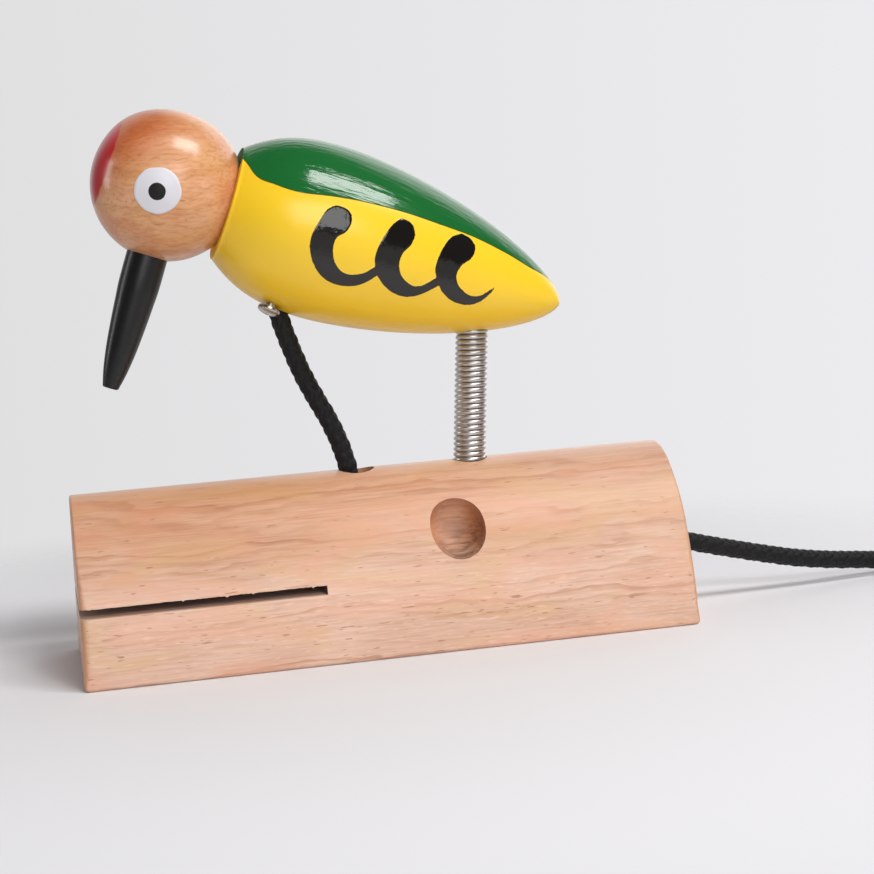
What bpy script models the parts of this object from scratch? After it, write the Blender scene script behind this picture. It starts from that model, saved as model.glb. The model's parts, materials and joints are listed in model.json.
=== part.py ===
"""Wooden woodpecker sounder: a turned bird on a coil spring above a slotted beech block.

A cord runs from the bird's belly through the block and out of its end. Pulling it bows the
bird on the spring, and the beak raps the block beside the saw slot.

Frame: metres, +Z up, origin at the middle of the block's underside. +X runs to the end
where the pull cord leaves, and the bird looks towards -X.
"""

import math

import bmesh
import bpy
from mathutils import Matrix, Vector

MM = 0.001

# Fits
GAP = 0.3 * MM  # between pieces that touch, glued joints included
DRILL_PLAY = 0.5 * MM  # from a blind hole's floor to what stands in it
PEG_CHAMFER = 0.6 * MM  # at the hidden ends of pegs

# Block
LOG_LENGTH = 165 * MM
LOG_WIDTH = 58 * MM
LOG_HEIGHT = 47.5 * MM
LOG_CROWN_RADIUS = 17.5 * MM  # the rounding along the crest
LOG_WALL = 4 * MM  # upright part of each side, above the base
LOG_EDGE = 1.2 * MM  # sanded rounding of the ends and the base

SLOT_LENGTH = 64 * MM  # from the beak end
SLOT_HEIGHT = 2.4 * MM
SLOT_TOP = 20.9 * MM  # its roof above the base

RECESS_DIAMETER = 15 * MM  # round thumb hole in the front
RECESS_DEPTH = 9.5 * MM  # along its axis
RECESS_X = 18.8 * MM
RECESS_Z = 32.1 * MM

CREST_HOLE_DIAMETER = 10 * MM  # where the cord goes in
CREST_HOLE_X = -4.2 * MM
CREST_HOLE_SUMP = 5 * MM  # how far it runs below the cord channel's middle
CHANNEL_DIAMETER = 8 * MM  # lengthwise bore for the cord
CHANNEL_Z = 20 * MM

# Spring
SPRING_DIAMETER = 8.6 * MM  # outside
WIRE_DIAMETER = 1.32 * MM
SPRING_PITCH = 1.48 * MM
SPRING_X = 28.1 * MM  # where its axis meets the crest
SPRING_LEAN = math.radians(4.8)  # towards the tail
LOG_SOCKET_DEPTH = 8 * MM
BODY_SOCKET_DEPTH = 8 * MM

# Bird
BIRD_RISE = 50.4 * MM  # from the crest to the body's axis, along the spring
SPRING_AT = 71.8 * MM  # where the spring's axis crosses the body's, from the neck
BODY_TILT = math.radians(20.3)  # tail down
BODY_LENGTH = 97.8 * MM
NECK_RADIUS = 14.6 * MM
NECK_EDGE = 0.8 * MM
BELLY_RADIUS = 23.9 * MM
BELLY_AT = 29 * MM  # from the neck
NECK_FULLNESS = 2.7  # exponents of the turned outline
TAIL_FULLNESS = 1.6
TAIL_BLUNTNESS = 0.65

HEAD_DIAMETER = 40.5 * MM
HEAD_SEAT = 15.8 * MM  # from the ball's centre to the body's front face
DOWEL_DIAMETER = 8 * MM
DOWEL_IN_HEAD = 11 * MM
DOWEL_IN_BODY = 12 * MM

BEAK_LENGTH = 36 * MM  # that shows
BEAK_SWING = math.radians(-0.5)  # from square to the body's axis, tip towards the chest
BEAK_ROOT_RADIUS = 5.3 * MM
BEAK_SHOULDER_AT = 26 * MM  # from the ball, where the quicker taper starts
BEAK_SHOULDER_RADIUS = 4.15 * MM
BEAK_TIP_RADIUS = 1.95 * MM
BEAK_TIP_EDGE = 0.4 * MM
BEAK_IN_HEAD = 10 * MM

EYE_DIAMETER = 12.1 * MM
EYE_THICKNESS = 0.5 * MM
EYE_FORWARD = math.radians(10)  # from straight sideways, towards the forehead
EYE_DOWN = math.radians(9.5)

# Cord
CORD_DIAMETER = 5 * MM
CORD_BREAK = 1.2 * MM  # between the channel's stretch and the drooping one outside
CORD_RUN_BACK = 4.8 * MM  # free way for the channel's stretch when the bird rocks back
BELLY_HOLE_AT = 21.7 * MM  # from the neck
BELLY_HOLE_DEPTH = 8 * MM
BELLY_HOLE_LEAN = math.radians(14.5)  # of the cord from upright, where it enters the belly

SCREW_HEAD_DIAMETER = 6.2 * MM
SCREW_HEAD_HEIGHT = 1.6 * MM
SCREW_SHANK_DIAMETER = 2.6 * MM
SCREW_LENGTH = 9 * MM  # under the head
SCREW_POINT = 2 * MM  # tapered end of the shank
SCREW_AHEAD = 3.1 * MM  # of the cord, along the body

# Route of the cord from inside the belly down to the crest, in the plane y = 0:
# (x, height above the crest) in mm.
FRONT_ROUTE = (
    (-24.3, 51.5), (-22.9, 45.9), (-21.0, 38.7), (-17.6, 28.7), (-14.2, 21.1),
    (-10.9, 14.5), (-8.3, 7.9), (-6.7, 2.1), (-6.35, -0.3),
)
# Route on down the crest hole and round into the channel, in the same plane:
# (x, height above the channel's middle) in mm, after a first point just under the crest.
BEND_ROUTE = (
    (-6.1, 16.5), (-5.9, 10.0), (-5.1, 6.2), (-3.0, 2.9), (0.3, 0.8), (4.1, 0.0), (7.7, 0.0),
)
BEND_START = (-6.25, -1.3)  # (x, height above the crest) in mm
# Route of the free cord from the block's end face down to the table: (x, y, z) in mm.
TAIL_ROUTE = (
    (82.5, 0.0, 20.0), (87.5, 0.1, 19.1), (93.0, 0.5, 17.4), (103.0, 2.0, 14.6),
    (114.4, 3.6, 11.6), (126.0, 5.4, 8.8), (138.0, 7.4, 6.7), (150.2, 9.6, 5.1),
    (157.0, 10.9, 4.0), (162.2, 11.8, 3.3),
)
COIL_CENTRE = (184 * MM, -17 * MM)
COIL_OUTER_RADIUS = 30.6 * MM  # of the cord's middle line
COIL_PITCH = 5.3 * MM
COIL_TURNS = 1.5
# Route of the last stretch, from the coil's inside to the stopper knot: (x, y, z) in mm.
END_ROUTE = (
    (174.6, -31.0, 2.5), (173.4, -27.6, 2.6), (174.4, -24.2, 3.2),
)
KNOT_CENTRE = (180.6 * MM, -16.2 * MM, 6.2 * MM)
KNOT_WIDTH = 13 * MM
KNOT_LENGTH = 12.4 * MM

TURN_STEPS = 40
COIL_STEPS = 12  # points in each turn of the spring


def clear_scene():
    for obj in list(bpy.data.objects):
        bpy.data.objects.remove(obj, do_unlink=True)


def new_collection(name):
    collection = bpy.data.collections.new(name)
    bpy.context.scene.collection.children.link(collection)
    return collection


def material(name, colour, roughness, metallic=0.0):
    made = bpy.data.materials.new(name)
    made.use_nodes = True
    made.diffuse_color = (*colour, 1.0)
    shader = made.node_tree.nodes["Principled BSDF"]
    shader.inputs["Base Color"].default_value = (*colour, 1.0)
    shader.inputs["Roughness"].default_value = roughness
    shader.inputs["Metallic"].default_value = metallic
    return made


def empty(name, collection, parent=None, location=(0, 0, 0), rotation=(0, 0, 0)):
    obj = bpy.data.objects.new(name, None)
    collection.objects.link(obj)
    place(obj, parent, location, rotation)
    return obj


def place(obj, parent=None, location=(0, 0, 0), rotation=(0, 0, 0)):
    obj.parent = parent
    obj.location = location
    obj.rotation_euler = rotation


def finish(obj, finish_material, sharp=35):
    """Gives an object its material and smooth shading, with edges above `sharp` degrees kept."""
    obj.data.materials.clear()
    obj.data.materials.append(finish_material)
    obj.data.shade_smooth()
    obj.data.set_sharp_from_angle(angle=math.radians(sharp))
    return obj


def turned(name, profile, collection, finish_material=None, steps=TURN_STEPS):
    """A lathe shape about local Z. The profile is (radius, height), outer side first, top down."""
    mesh = bpy.data.meshes.new(name)
    points = [(radius, 0.0, height) for radius, height in profile]
    mesh.from_pydata(points, [(i, i + 1) for i in range(len(points) - 1)], [])
    obj = bpy.data.objects.new(name, mesh)
    collection.objects.link(obj)
    screw = obj.modifiers.new("Turn", "SCREW")
    screw.axis = "Z"
    screw.angle = math.tau
    screw.steps = screw.render_steps = steps
    screw.use_merge_vertices = True
    screw.merge_threshold = 0.00001
    screw.use_smooth_shade = True
    if finish_material:
        obj.data.materials.append(finish_material)
    return obj


def tube(name, points, diameter, collection, resolution=3):
    """A round rod along points, as a poly curve with filled caps."""
    curve = bpy.data.curves.new(name, "CURVE")
    curve.dimensions = "3D"
    curve.bevel_depth = diameter / 2
    curve.bevel_resolution = resolution
    curve.use_fill_caps = True
    spline = curve.splines.new("POLY")
    spline.points.add(len(points) - 1)
    for spline_point, point in zip(spline.points, points):
        spline_point.co = (*point, 1.0)
    obj = bpy.data.objects.new(name, curve)
    collection.objects.link(obj)
    return obj


def as_mesh(curve_object, collection):
    """The same shape as a mesh with welded caps, in the curve's place."""
    name = curve_object.name
    bpy.context.view_layer.update()
    evaluated = curve_object.evaluated_get(bpy.context.evaluated_depsgraph_get())
    mesh = bpy.data.meshes.new_from_object(evaluated)
    matrix = curve_object.matrix_world.copy()
    bpy.data.objects.remove(curve_object, do_unlink=True)
    welded = bmesh.new()
    welded.from_mesh(mesh)
    bmesh.ops.remove_doubles(welded, verts=welded.verts, dist=0.00001)
    bmesh.ops.recalc_face_normals(welded, faces=welded.faces)
    welded.to_mesh(mesh)
    welded.free()
    mesh.name = name
    obj = bpy.data.objects.new(name, mesh)
    collection.objects.link(obj)
    obj.matrix_world = matrix
    return obj


def as_cutter(obj):
    obj.hide_render = True
    obj.display_type = "WIRE"
    return obj


def drill(name, radius, length, collection, parent=None, matrix=None):
    """A cylinder cutter that runs from its origin along its local Z."""
    mesh = bpy.data.meshes.new(name)
    shape = bmesh.new()
    bmesh.ops.create_cone(
        shape,
        cap_ends=True,
        segments=TURN_STEPS,
        radius1=radius,
        radius2=radius,
        depth=length,
        matrix=Matrix.Translation((0, 0, length / 2)),
    )
    shape.to_mesh(mesh)
    shape.free()
    obj = bpy.data.objects.new(name, mesh)
    collection.objects.link(obj)
    obj.parent = parent
    obj.matrix_basis = matrix or Matrix.Identity(4)
    return as_cutter(obj)


def cut(obj, *cutters):
    for cutter in cutters:
        boolean = obj.modifiers.new(f"Cut {cutter.name}", "BOOLEAN")
        boolean.operation = "DIFFERENCE"
        boolean.solver = "EXACT"
        boolean.object = cutter


def aim(location, direction):
    """The matrix that puts local Z along a direction in the x-z plane."""
    x, z = direction
    return Matrix.Translation(location) @ Matrix.Rotation(math.atan2(x, z), 4, "Y")


def smooth_route(points, spacing):
    """Points a set distance apart along a Catmull-Rom curve through the route's points."""
    route = [Vector(p) for p in points]
    route = [2 * route[0] - route[1], *route, 2 * route[-1] - route[-2]]
    fine = []
    for before, start, end, after in zip(route, route[1:], route[2:], route[3:]):
        for step in range(20):
            t = step / 20
            fine.append(
                0.5
                * (
                    2 * start
                    + (end - before) * t
                    + (2 * before - 5 * start + 4 * end - after) * t**2
                    + (3 * start - before - 3 * end + after) * t**3
                )
            )
    fine.append(route[-2])
    lengths = [0.0]
    for start, end in zip(fine, fine[1:]):
        lengths.append(lengths[-1] + (end - start).length)
    count = max(2, round(lengths[-1] / spacing))
    read = []
    segment = 0
    for i in range(count + 1):
        distance = lengths[-1] * i / count
        while segment < len(fine) - 2 and lengths[segment + 1] < distance:
            segment += 1
        share = (distance - lengths[segment]) / (lengths[segment + 1] - lengths[segment])
        read.append(fine[segment].lerp(fine[segment + 1], min(share, 1.0)))
    return read


def arch_outline():
    """The block's section as (y, z): flat base, upright walls, side arcs and a tighter crown."""
    half = LOG_WIDTH / 2
    crown_z = LOG_HEIGHT - LOG_CROWN_RADIUS  # centre of the crown's arc
    rise = crown_z - LOG_WALL
    # The side arc starts upright at the wall and runs into the crown on one tangent.
    side_radius = (half**2 + rise**2 - LOG_CROWN_RADIUS**2) / (2 * (half - LOG_CROWN_RADIUS))
    side_y = half - side_radius
    meet = math.atan2(rise, -side_y)
    right = []
    for i in range(13):
        angle = meet * i / 12
        right.append((side_y + side_radius * math.cos(angle), LOG_WALL + side_radius * math.sin(angle)))
    for i in range(1, 9):
        angle = meet + (math.pi / 2 - meet) * i / 8
        right.append((LOG_CROWN_RADIUS * math.cos(angle), crown_z + LOG_CROWN_RADIUS * math.sin(angle)))
    left = [(-y, z) for y, z in reversed(right[:-1])]
    return [(-half, 0.0), (half, 0.0), *right, *left]


def log_surface_y(height):
    """How far the block's side stands from its middle plane at a height."""
    outline = [(y, z) for y, z in arch_outline() if y > 0]
    for (y0, z0), (y1, z1) in zip(outline[1:], outline[2:]):
        if z0 <= height <= z1:
            return y0 + (y1 - y0) * (height - z0) / (z1 - z0)
    return 0.0


def body_radius(along):
    """The body's turned radius at a distance from the neck."""
    if along < BELLY_AT:
        share = 1 - ((BELLY_AT - along) / BELLY_AT) ** NECK_FULLNESS
        return NECK_RADIUS + (BELLY_RADIUS - NECK_RADIUS) * share
    share = min((along - BELLY_AT) / (BODY_LENGTH - BELLY_AT), 1.0)
    return BELLY_RADIUS * (1 - share**TAIL_FULLNESS) ** TAIL_BLUNTNESS


def body_profile():
    """Turned outline from the tail's tip to the neck, then the ball's seat and the dowel hole."""
    profile = [(0.0, BODY_LENGTH)]
    for i in range(1, 26):
        # Closer together at the tail, where the outline turns fastest.
        along = BODY_LENGTH - (BODY_LENGTH - NECK_EDGE) * (i / 25) ** 1.5
        profile.append((body_radius(along), along))
    for i in range(1, 4):
        angle = math.radians(30 * i)
        profile.append(
            (NECK_RADIUS - NECK_EDGE * (1 - math.cos(angle)), NECK_EDGE * (1 - math.sin(angle)))
        )
    seat_radius = HEAD_DIAMETER / 2 + GAP
    mouth = math.sqrt(seat_radius**2 - HEAD_SEAT**2)
    hole = DOWEL_DIAMETER / 2 + GAP
    for i in range(7):
        radius = mouth + (hole - mouth) * i / 6
        profile.append((radius, math.sqrt(seat_radius**2 - radius**2) - HEAD_SEAT))
    profile.append((hole, DOWEL_IN_BODY + DRILL_PLAY))
    profile.append((0.0, DOWEL_IN_BODY + DRILL_PLAY))
    return profile


def build_log(parts, cutters, wood):
    outline = arch_outline()
    curve = bpy.data.curves.new("log_block", "CURVE")
    curve.dimensions = "2D"
    curve.fill_mode = "BOTH"
    curve.extrude = LOG_LENGTH / 2
    spline = curve.splines.new("POLY")
    spline.points.add(len(outline) - 1)
    for spline_point, (y, z) in zip(spline.points, outline):
        spline_point.co = (y, z, 0.0, 1.0)
    spline.use_cyclic_u = True
    section = bpy.data.objects.new("log_block", curve)
    parts.objects.link(section)
    section.rotation_euler = (math.pi / 2, 0, math.pi / 2)
    log = as_mesh(section, parts)
    bevel = log.modifiers.new("Sanded edges", "BEVEL")
    bevel.width = LOG_EDGE
    bevel.segments = 3
    bevel.limit_method = "ANGLE"
    bevel.angle_limit = math.radians(40)

    bpy.ops.mesh.primitive_cube_add(size=1)
    slot = bpy.context.object
    slot.name = "slot_cutter"
    for collection in slot.users_collection:
        collection.objects.unlink(slot)
    cutters.objects.link(slot)
    slot.scale = (2 * SLOT_LENGTH, 2 * LOG_WIDTH, SLOT_HEIGHT)
    slot.location = (-LOG_LENGTH / 2, 0, SLOT_TOP - SLOT_HEIGHT / 2)
    as_cutter(slot)

    radius = RECESS_DIAMETER / 2
    mouth = log_surface_y(RECESS_Z)
    floor = mouth - RECESS_DEPTH  # the dish's deepest point, from the middle plane
    dish = [(0.0, LOG_WIDTH), (radius, LOG_WIDTH)]
    for i in range(9):
        angle = math.pi / 2 * i / 8
        dish.append((radius * math.cos(angle), floor + radius * (1 - math.sin(angle))))
    recess = as_cutter(turned("recess_cutter", dish, cutters))
    recess.location = (RECESS_X, 0, RECESS_Z)
    recess.rotation_euler = (math.pi / 2, 0, 0)

    crest_hole_floor = CHANNEL_Z - CREST_HOLE_SUMP
    crest_hole = drill(
        "crest_hole_cutter",
        CREST_HOLE_DIAMETER / 2,
        LOG_HEIGHT,
        cutters,
        matrix=Matrix.Translation((CREST_HOLE_X, 0, crest_hole_floor)),
    )
    channel = drill(
        "channel_cutter",
        CHANNEL_DIAMETER / 2,
        LOG_LENGTH,
        cutters,
        matrix=aim((CREST_HOLE_X, 0, CHANNEL_Z), (1, 0)),
    )
    up = Vector((math.sin(SPRING_LEAN), 0, math.cos(SPRING_LEAN)))
    socket = drill(
        "spring_socket_cutter",
        SPRING_DIAMETER / 2 + GAP,
        3 * LOG_SOCKET_DEPTH,
        cutters,
        matrix=aim(Vector((SPRING_X, 0, LOG_HEIGHT)) - up * LOG_SOCKET_DEPTH, (up.x, up.z)),
    )
    cut(log, slot, recess, crest_hole, channel, socket)
    finish(log, wood)
    return log


def build_spring(parts, steel, base, top_length):
    """Close-wound wire along the spring's own axis, from its socket in the block into the body."""
    mean_radius = (SPRING_DIAMETER - WIRE_DIAMETER) / 2
    start = -LOG_SOCKET_DEPTH + DRILL_PLAY + WIRE_DIAMETER / 2
    end = top_length + BODY_SOCKET_DEPTH - DRILL_PLAY - WIRE_DIAMETER / 2
    turns = (end - start) / SPRING_PITCH
    count = round(turns * COIL_STEPS)
    points = []
    for i in range(count + 1):
        angle = math.tau * turns * i / count
        height = start + (end - start) * i / count
        points.append((mean_radius * math.cos(angle), mean_radius * math.sin(angle), height))
    spring = tube("spring", points, WIRE_DIAMETER, parts, resolution=2)
    spring.location = base
    spring.rotation_euler = (0, SPRING_LEAN, 0)
    spring = as_mesh(spring, parts)
    return finish(spring, steel, sharp=60)


def build_body(parts, cutters, bird, paint, spring_base, entry):
    body = turned("bird_body", body_profile(), parts, paint)
    place(body, bird, (HEAD_SEAT, 0, 0), (0, math.pi / 2, 0))
    up = Vector((math.sin(SPRING_LEAN), 0, math.cos(SPRING_LEAN)))
    reach = entry + BODY_SOCKET_DEPTH
    socket = drill(
        "body_socket_cutter",
        SPRING_DIAMETER / 2 + GAP,
        2 * BODY_SOCKET_DEPTH,
        cutters,
        matrix=aim(spring_base + up * (reach - 2 * BODY_SOCKET_DEPTH), (up.x, up.z)),
    )
    cut(body, socket)
    return body


def build_head(parts, cutters, bird, wood):
    bpy.ops.mesh.primitive_uv_sphere_add(segments=40, ring_count=24, radius=HEAD_DIAMETER / 2)
    head = bpy.context.object
    head.name = head.data.name = "bird_head"
    for collection in head.users_collection:
        collection.objects.unlink(head)
    parts.objects.link(head)
    place(head, bird)
    ball = HEAD_DIAMETER / 2
    floor = ball - DOWEL_IN_HEAD - DRILL_PLAY
    dowel_hole = drill(
        "head_dowel_cutter", DOWEL_DIAMETER / 2 + GAP, ball, cutters, bird, aim((floor, 0, 0), (1, 0))
    )
    floor = ball - BEAK_IN_HEAD - DRILL_PLAY
    down = (-math.sin(BEAK_SWING), -math.cos(BEAK_SWING))
    beak_hole = drill(
        "beak_hole_cutter",
        BEAK_ROOT_RADIUS + GAP,
        ball,
        cutters,
        bird,
        aim((floor * down[0], 0, floor * down[1]), down),
    )
    cut(head, dowel_hole, beak_hole)
    finish(head, wood)
    return head


def build_dowel(parts, bird, wood):
    start = HEAD_DIAMETER / 2 - DOWEL_IN_HEAD
    end = HEAD_SEAT + DOWEL_IN_BODY
    radius = DOWEL_DIAMETER / 2
    profile = [
        (0.0, end),
        (radius - PEG_CHAMFER, end),
        (radius, end - PEG_CHAMFER),
        (radius, start + PEG_CHAMFER),
        (radius - PEG_CHAMFER, start),
        (0.0, start),
    ]
    dowel = turned("neck_dowel", profile, parts, wood, steps=24)
    place(dowel, bird, (0, 0, 0), (0, math.pi / 2, 0))
    return dowel


def build_beak(parts, bird, paint):
    """Turned peg: gentle taper, a quicker one from its shoulder, and a small flat tip."""
    ball = HEAD_DIAMETER / 2
    tip = ball + BEAK_LENGTH
    root = ball - BEAK_IN_HEAD
    profile = [
        (0.0, root),
        (BEAK_ROOT_RADIUS - PEG_CHAMFER, root),
        (BEAK_ROOT_RADIUS, root + PEG_CHAMFER),
        (BEAK_ROOT_RADIUS, ball),
        (BEAK_SHOULDER_RADIUS, ball + BEAK_SHOULDER_AT),
        (BEAK_TIP_RADIUS, tip - BEAK_TIP_EDGE),
        (BEAK_TIP_RADIUS - BEAK_TIP_EDGE, tip),
        (0.0, tip),
    ]
    # The peg hangs along the bird's -Z, so the profile's heights are turned over.
    beak = turned("beak", [(r, -z) for r, z in profile], parts, paint, steps=32)
    place(beak, bird, (0, 0, 0), (0, BEAK_SWING, 0))
    return beak


def build_eyes(parts, bird, white):
    """Thin discs that lie on the ball's sides."""
    inner = HEAD_DIAMETER / 2 + GAP
    outer = inner + EYE_THICKNESS
    spread = math.asin(EYE_DIAMETER / 2 / outer)
    profile = []
    for i in range(7):
        angle = spread * i / 6
        profile.append((outer * math.sin(angle), outer * math.cos(angle)))
    for i in range(6, -1, -1):
        angle = spread * i / 6
        profile.append((inner * math.sin(angle), inner * math.cos(angle)))
    for side, name in ((-1, "eye_left"), (1, "eye_right")):
        look = Vector(
            (
                -math.sin(EYE_FORWARD) * math.cos(EYE_DOWN),
                side * math.cos(EYE_FORWARD) * math.cos(EYE_DOWN),
                -math.sin(EYE_DOWN),
            )
        )
        eye = turned(name, profile, parts, white, steps=28)
        place(eye, bird, (0, 0, 0), look.to_track_quat("Z", "Y").to_euler())


def build_cord_anchor(parts, cutters, bird, body, steel):
    """The belly's cord hole, and the screw beside it whose head traps the cord."""
    head_radius = SCREW_HEAD_DIAMETER / 2
    hole_radius = CORD_DIAMETER / 2 + GAP
    belly = Vector((HEAD_SEAT + BELLY_HOLE_AT, 0, -body_radius(BELLY_HOLE_AT)))
    # In the bird's frame the cord stands at its own lean plus the body's tilt.
    slant = BODY_TILT + BELLY_HOLE_LEAN
    into = Vector((-math.sin(slant), 0, math.cos(slant)))
    hole = drill(
        "belly_hole_cutter",
        hole_radius,
        2 * BELLY_HOLE_DEPTH,
        cutters,
        bird,
        aim(belly - into * BELLY_HOLE_DEPTH, (into.x, into.z)),
    )
    apart = head_radius + CORD_DIAMETER / 2 + GAP
    aside = math.sqrt(max(apart**2 - SCREW_AHEAD**2, 0.0))
    along = BELLY_HOLE_AT - SCREW_AHEAD
    radius = body_radius(along)
    turn = math.asin(aside / radius)
    # The head lies flat on the belly, whose outline slopes here.
    slope = math.atan2(body_radius(along + MM) - body_radius(along - MM), 2 * MM)
    around = empty("screw_place", parts, bird, (HEAD_SEAT + along, 0, 0), (-turn, 0, 0))
    lean = Matrix.Translation((0, 0, -radius)) @ Matrix.Rotation(slope, 4, "Y")
    shank = SCREW_SHANK_DIAMETER / 2
    profile = [
        (0.0, SCREW_LENGTH),
        (shank * 0.3, SCREW_LENGTH),
        (shank, SCREW_LENGTH - SCREW_POINT),
        (shank, -GAP),
        (head_radius, -GAP),
        (head_radius, -GAP - 0.6 * SCREW_HEAD_HEIGHT),
        (0.9 * head_radius, -GAP - 0.85 * SCREW_HEAD_HEIGHT),
        (0.6 * head_radius, -GAP - SCREW_HEAD_HEIGHT),
        (0.0, -GAP - SCREW_HEAD_HEIGHT),
    ]
    screw = turned("cord_screw", profile, parts, steel, steps=28)
    screw.parent = around
    screw.matrix_basis = lean
    pilot = drill(
        "pilot_cutter",
        shank + GAP,
        2 * SCREW_LENGTH + DRILL_PLAY,
        cutters,
        around,
        lean @ Matrix.Translation((0, 0, -SCREW_LENGTH)),
    )
    cut(body, hole, pilot)


def build_cord(parts, braid):
    """The cord's stretches from the belly to its free end, with the knot in it."""
    front = [(x * MM, 0.0, LOG_HEIGHT + above * MM) for x, above in FRONT_ROUTE]
    bend = [(BEND_START[0] * MM, 0.0, LOG_HEIGHT + BEND_START[1] * MM)]
    bend += [(x * MM, 0.0, CHANNEL_Z + above * MM) for x, above in BEND_ROUTE]
    channel_start = bend[-1][0] + CORD_RUN_BACK
    channel = [(channel_start, 0.0, CHANNEL_Z), (LOG_LENGTH / 2 - CORD_BREAK, 0.0, CHANNEL_Z)]
    tail = [tuple(value * MM for value in point) for point in TAIL_ROUTE]
    end = [tuple(value * MM for value in point) for point in END_ROUTE]
    stretches = (
        ("cord_front", front, CORD_DIAMETER),
        ("cord_bend", bend, CORD_DIAMETER),
        ("cord_channel", channel, 3 * CORD_DIAMETER),
        ("cord_tail", tail, CORD_DIAMETER),
        ("cord_end", end, CORD_DIAMETER / 2),
    )
    for name, route, spacing in stretches:
        stretch = tube(name, smooth_route(route, spacing), CORD_DIAMETER, parts)
        stretch.data.materials.append(braid)

    half = CORD_DIAMETER / 2
    outer = COIL_OUTER_RADIUS + half
    inner = COIL_OUTER_RADIUS - COIL_PITCH * COIL_TURNS - half
    round_off = 0.6 * half
    profile = []
    corners = (
        (outer - round_off, 2 * half - round_off, 90, 0),
        (outer - round_off, round_off, 0, -90),
        (inner + round_off, round_off, -90, -180),
        (inner + round_off, 2 * half - round_off, 180, 90),
    )
    for radius, height, first, last_angle in corners:
        for i in range(4):
            angle = math.radians(first + (last_angle - first) * i / 3)
            profile.append((radius + round_off * math.cos(angle), height + round_off * math.sin(angle)))
    profile.append(profile[0])
    coil = turned("cord_coil", profile, parts, braid)
    coil.location = (*COIL_CENTRE, 0)

    knot_profile = []
    for i in range(13):
        angle = math.pi * i / 12
        knot_profile.append((KNOT_WIDTH / 2 * math.sin(angle), KNOT_LENGTH / 2 * math.cos(angle)))
    knot = turned("cord_knot", knot_profile, parts, braid, steps=24)
    knot.location = KNOT_CENTRE


def main():
    clear_scene()
    parts = new_collection("woodpecker_sounder")
    cutters = new_collection("cutters")

    beech = material("beech", (0.72, 0.42, 0.26), 0.55)
    lacquered_beech = material("lacquered beech", (0.58, 0.27, 0.12), 0.25)
    bright_paint = material("yellow gloss paint", (0.85, 0.58, 0.03), 0.22)
    black_paint = material("black satin paint", (0.014, 0.014, 0.014), 0.35)
    spring_steel = material("nickelled spring steel", (0.62, 0.61, 0.59), 0.25, 1.0)
    screw_steel = material("nickelled screw", (0.66, 0.64, 0.60), 0.3, 1.0)
    eye_white = material("white eye disc", (0.78, 0.78, 0.83), 0.4)
    black_braid = material("black polyester braid", (0.014, 0.014, 0.015), 0.75)

    up = Vector((math.sin(SPRING_LEAN), 0, math.cos(SPRING_LEAN)))
    base = Vector((SPRING_X, 0, LOG_HEIGHT))
    crossing = base + up * BIRD_RISE
    axis = Vector((math.cos(BODY_TILT), 0, -math.sin(BODY_TILT)))
    head_centre = crossing - axis * (HEAD_SEAT + SPRING_AT)
    # Length of spring between the crest and the belly, along the spring's axis.
    entry = BIRD_RISE - body_radius(SPRING_AT) / math.cos(BODY_TILT - SPRING_LEAN)

    # The bird bows about the middle of the spring's open length.
    pivot = empty("peck_pivot", parts, None, base + up * (entry / 2))
    bird = empty("bird_frame", parts, pivot, head_centre - pivot.location, (0, BODY_TILT, 0))

    build_log(parts, cutters, beech)
    build_spring(parts, spring_steel, base, entry)
    body = build_body(parts, cutters, bird, bright_paint, base, entry)
    build_head(parts, cutters, bird, lacquered_beech)
    build_dowel(parts, bird, beech)
    build_beak(parts, bird, black_paint)
    build_eyes(parts, bird, eye_white)
    build_cord_anchor(parts, cutters, bird, body, screw_steel)
    build_cord(parts, black_braid)
    bpy.context.view_layer.update()


main()
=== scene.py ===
import json
import math
from functools import partial

import bpy
import numpy as np
from mathutils import Matrix, Vector


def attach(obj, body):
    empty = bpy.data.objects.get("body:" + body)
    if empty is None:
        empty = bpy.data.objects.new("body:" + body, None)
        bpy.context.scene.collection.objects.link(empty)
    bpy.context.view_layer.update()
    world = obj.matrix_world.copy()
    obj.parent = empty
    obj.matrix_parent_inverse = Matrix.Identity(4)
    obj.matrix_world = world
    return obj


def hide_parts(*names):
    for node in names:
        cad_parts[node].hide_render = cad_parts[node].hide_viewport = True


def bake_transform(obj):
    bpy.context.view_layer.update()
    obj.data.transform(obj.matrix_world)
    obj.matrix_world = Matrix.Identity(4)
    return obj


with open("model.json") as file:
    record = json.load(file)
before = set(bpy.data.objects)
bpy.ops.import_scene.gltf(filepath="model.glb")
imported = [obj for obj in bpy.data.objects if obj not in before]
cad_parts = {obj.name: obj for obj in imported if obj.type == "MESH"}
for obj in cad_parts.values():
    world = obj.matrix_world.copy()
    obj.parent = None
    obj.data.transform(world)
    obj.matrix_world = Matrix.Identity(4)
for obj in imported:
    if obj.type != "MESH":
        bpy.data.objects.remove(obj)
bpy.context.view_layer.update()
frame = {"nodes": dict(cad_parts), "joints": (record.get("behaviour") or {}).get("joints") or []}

# Looks of the wooden woodpecker sounder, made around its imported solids. Metres, +Z up.
# The block lies along X, the bird looks towards -X, and the photographed side faces -Y.

MM = 0.001
JOINTS = {joint["name"]: joint for joint in frame["joints"]}

# Camera, as fitted to the block's corners
IMAGE_SIDE = 874  # pixels
SENSOR = 36.0  # mm
FOCAL_PIXELS = 1812.97
AXIS_PIXEL_X = 400  # where the lens axis meets the picture
CAMERA_TURN = -11.156  # degrees about +Z, from straight in front
CAMERA_RISE = 6
CAMERA_ROLL = math.radians(3.895)
CAMERA_DISTANCE = 502.2 * MM
CAMERA_TARGET = Vector((8.77, 0, 55.35)) * MM

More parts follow.
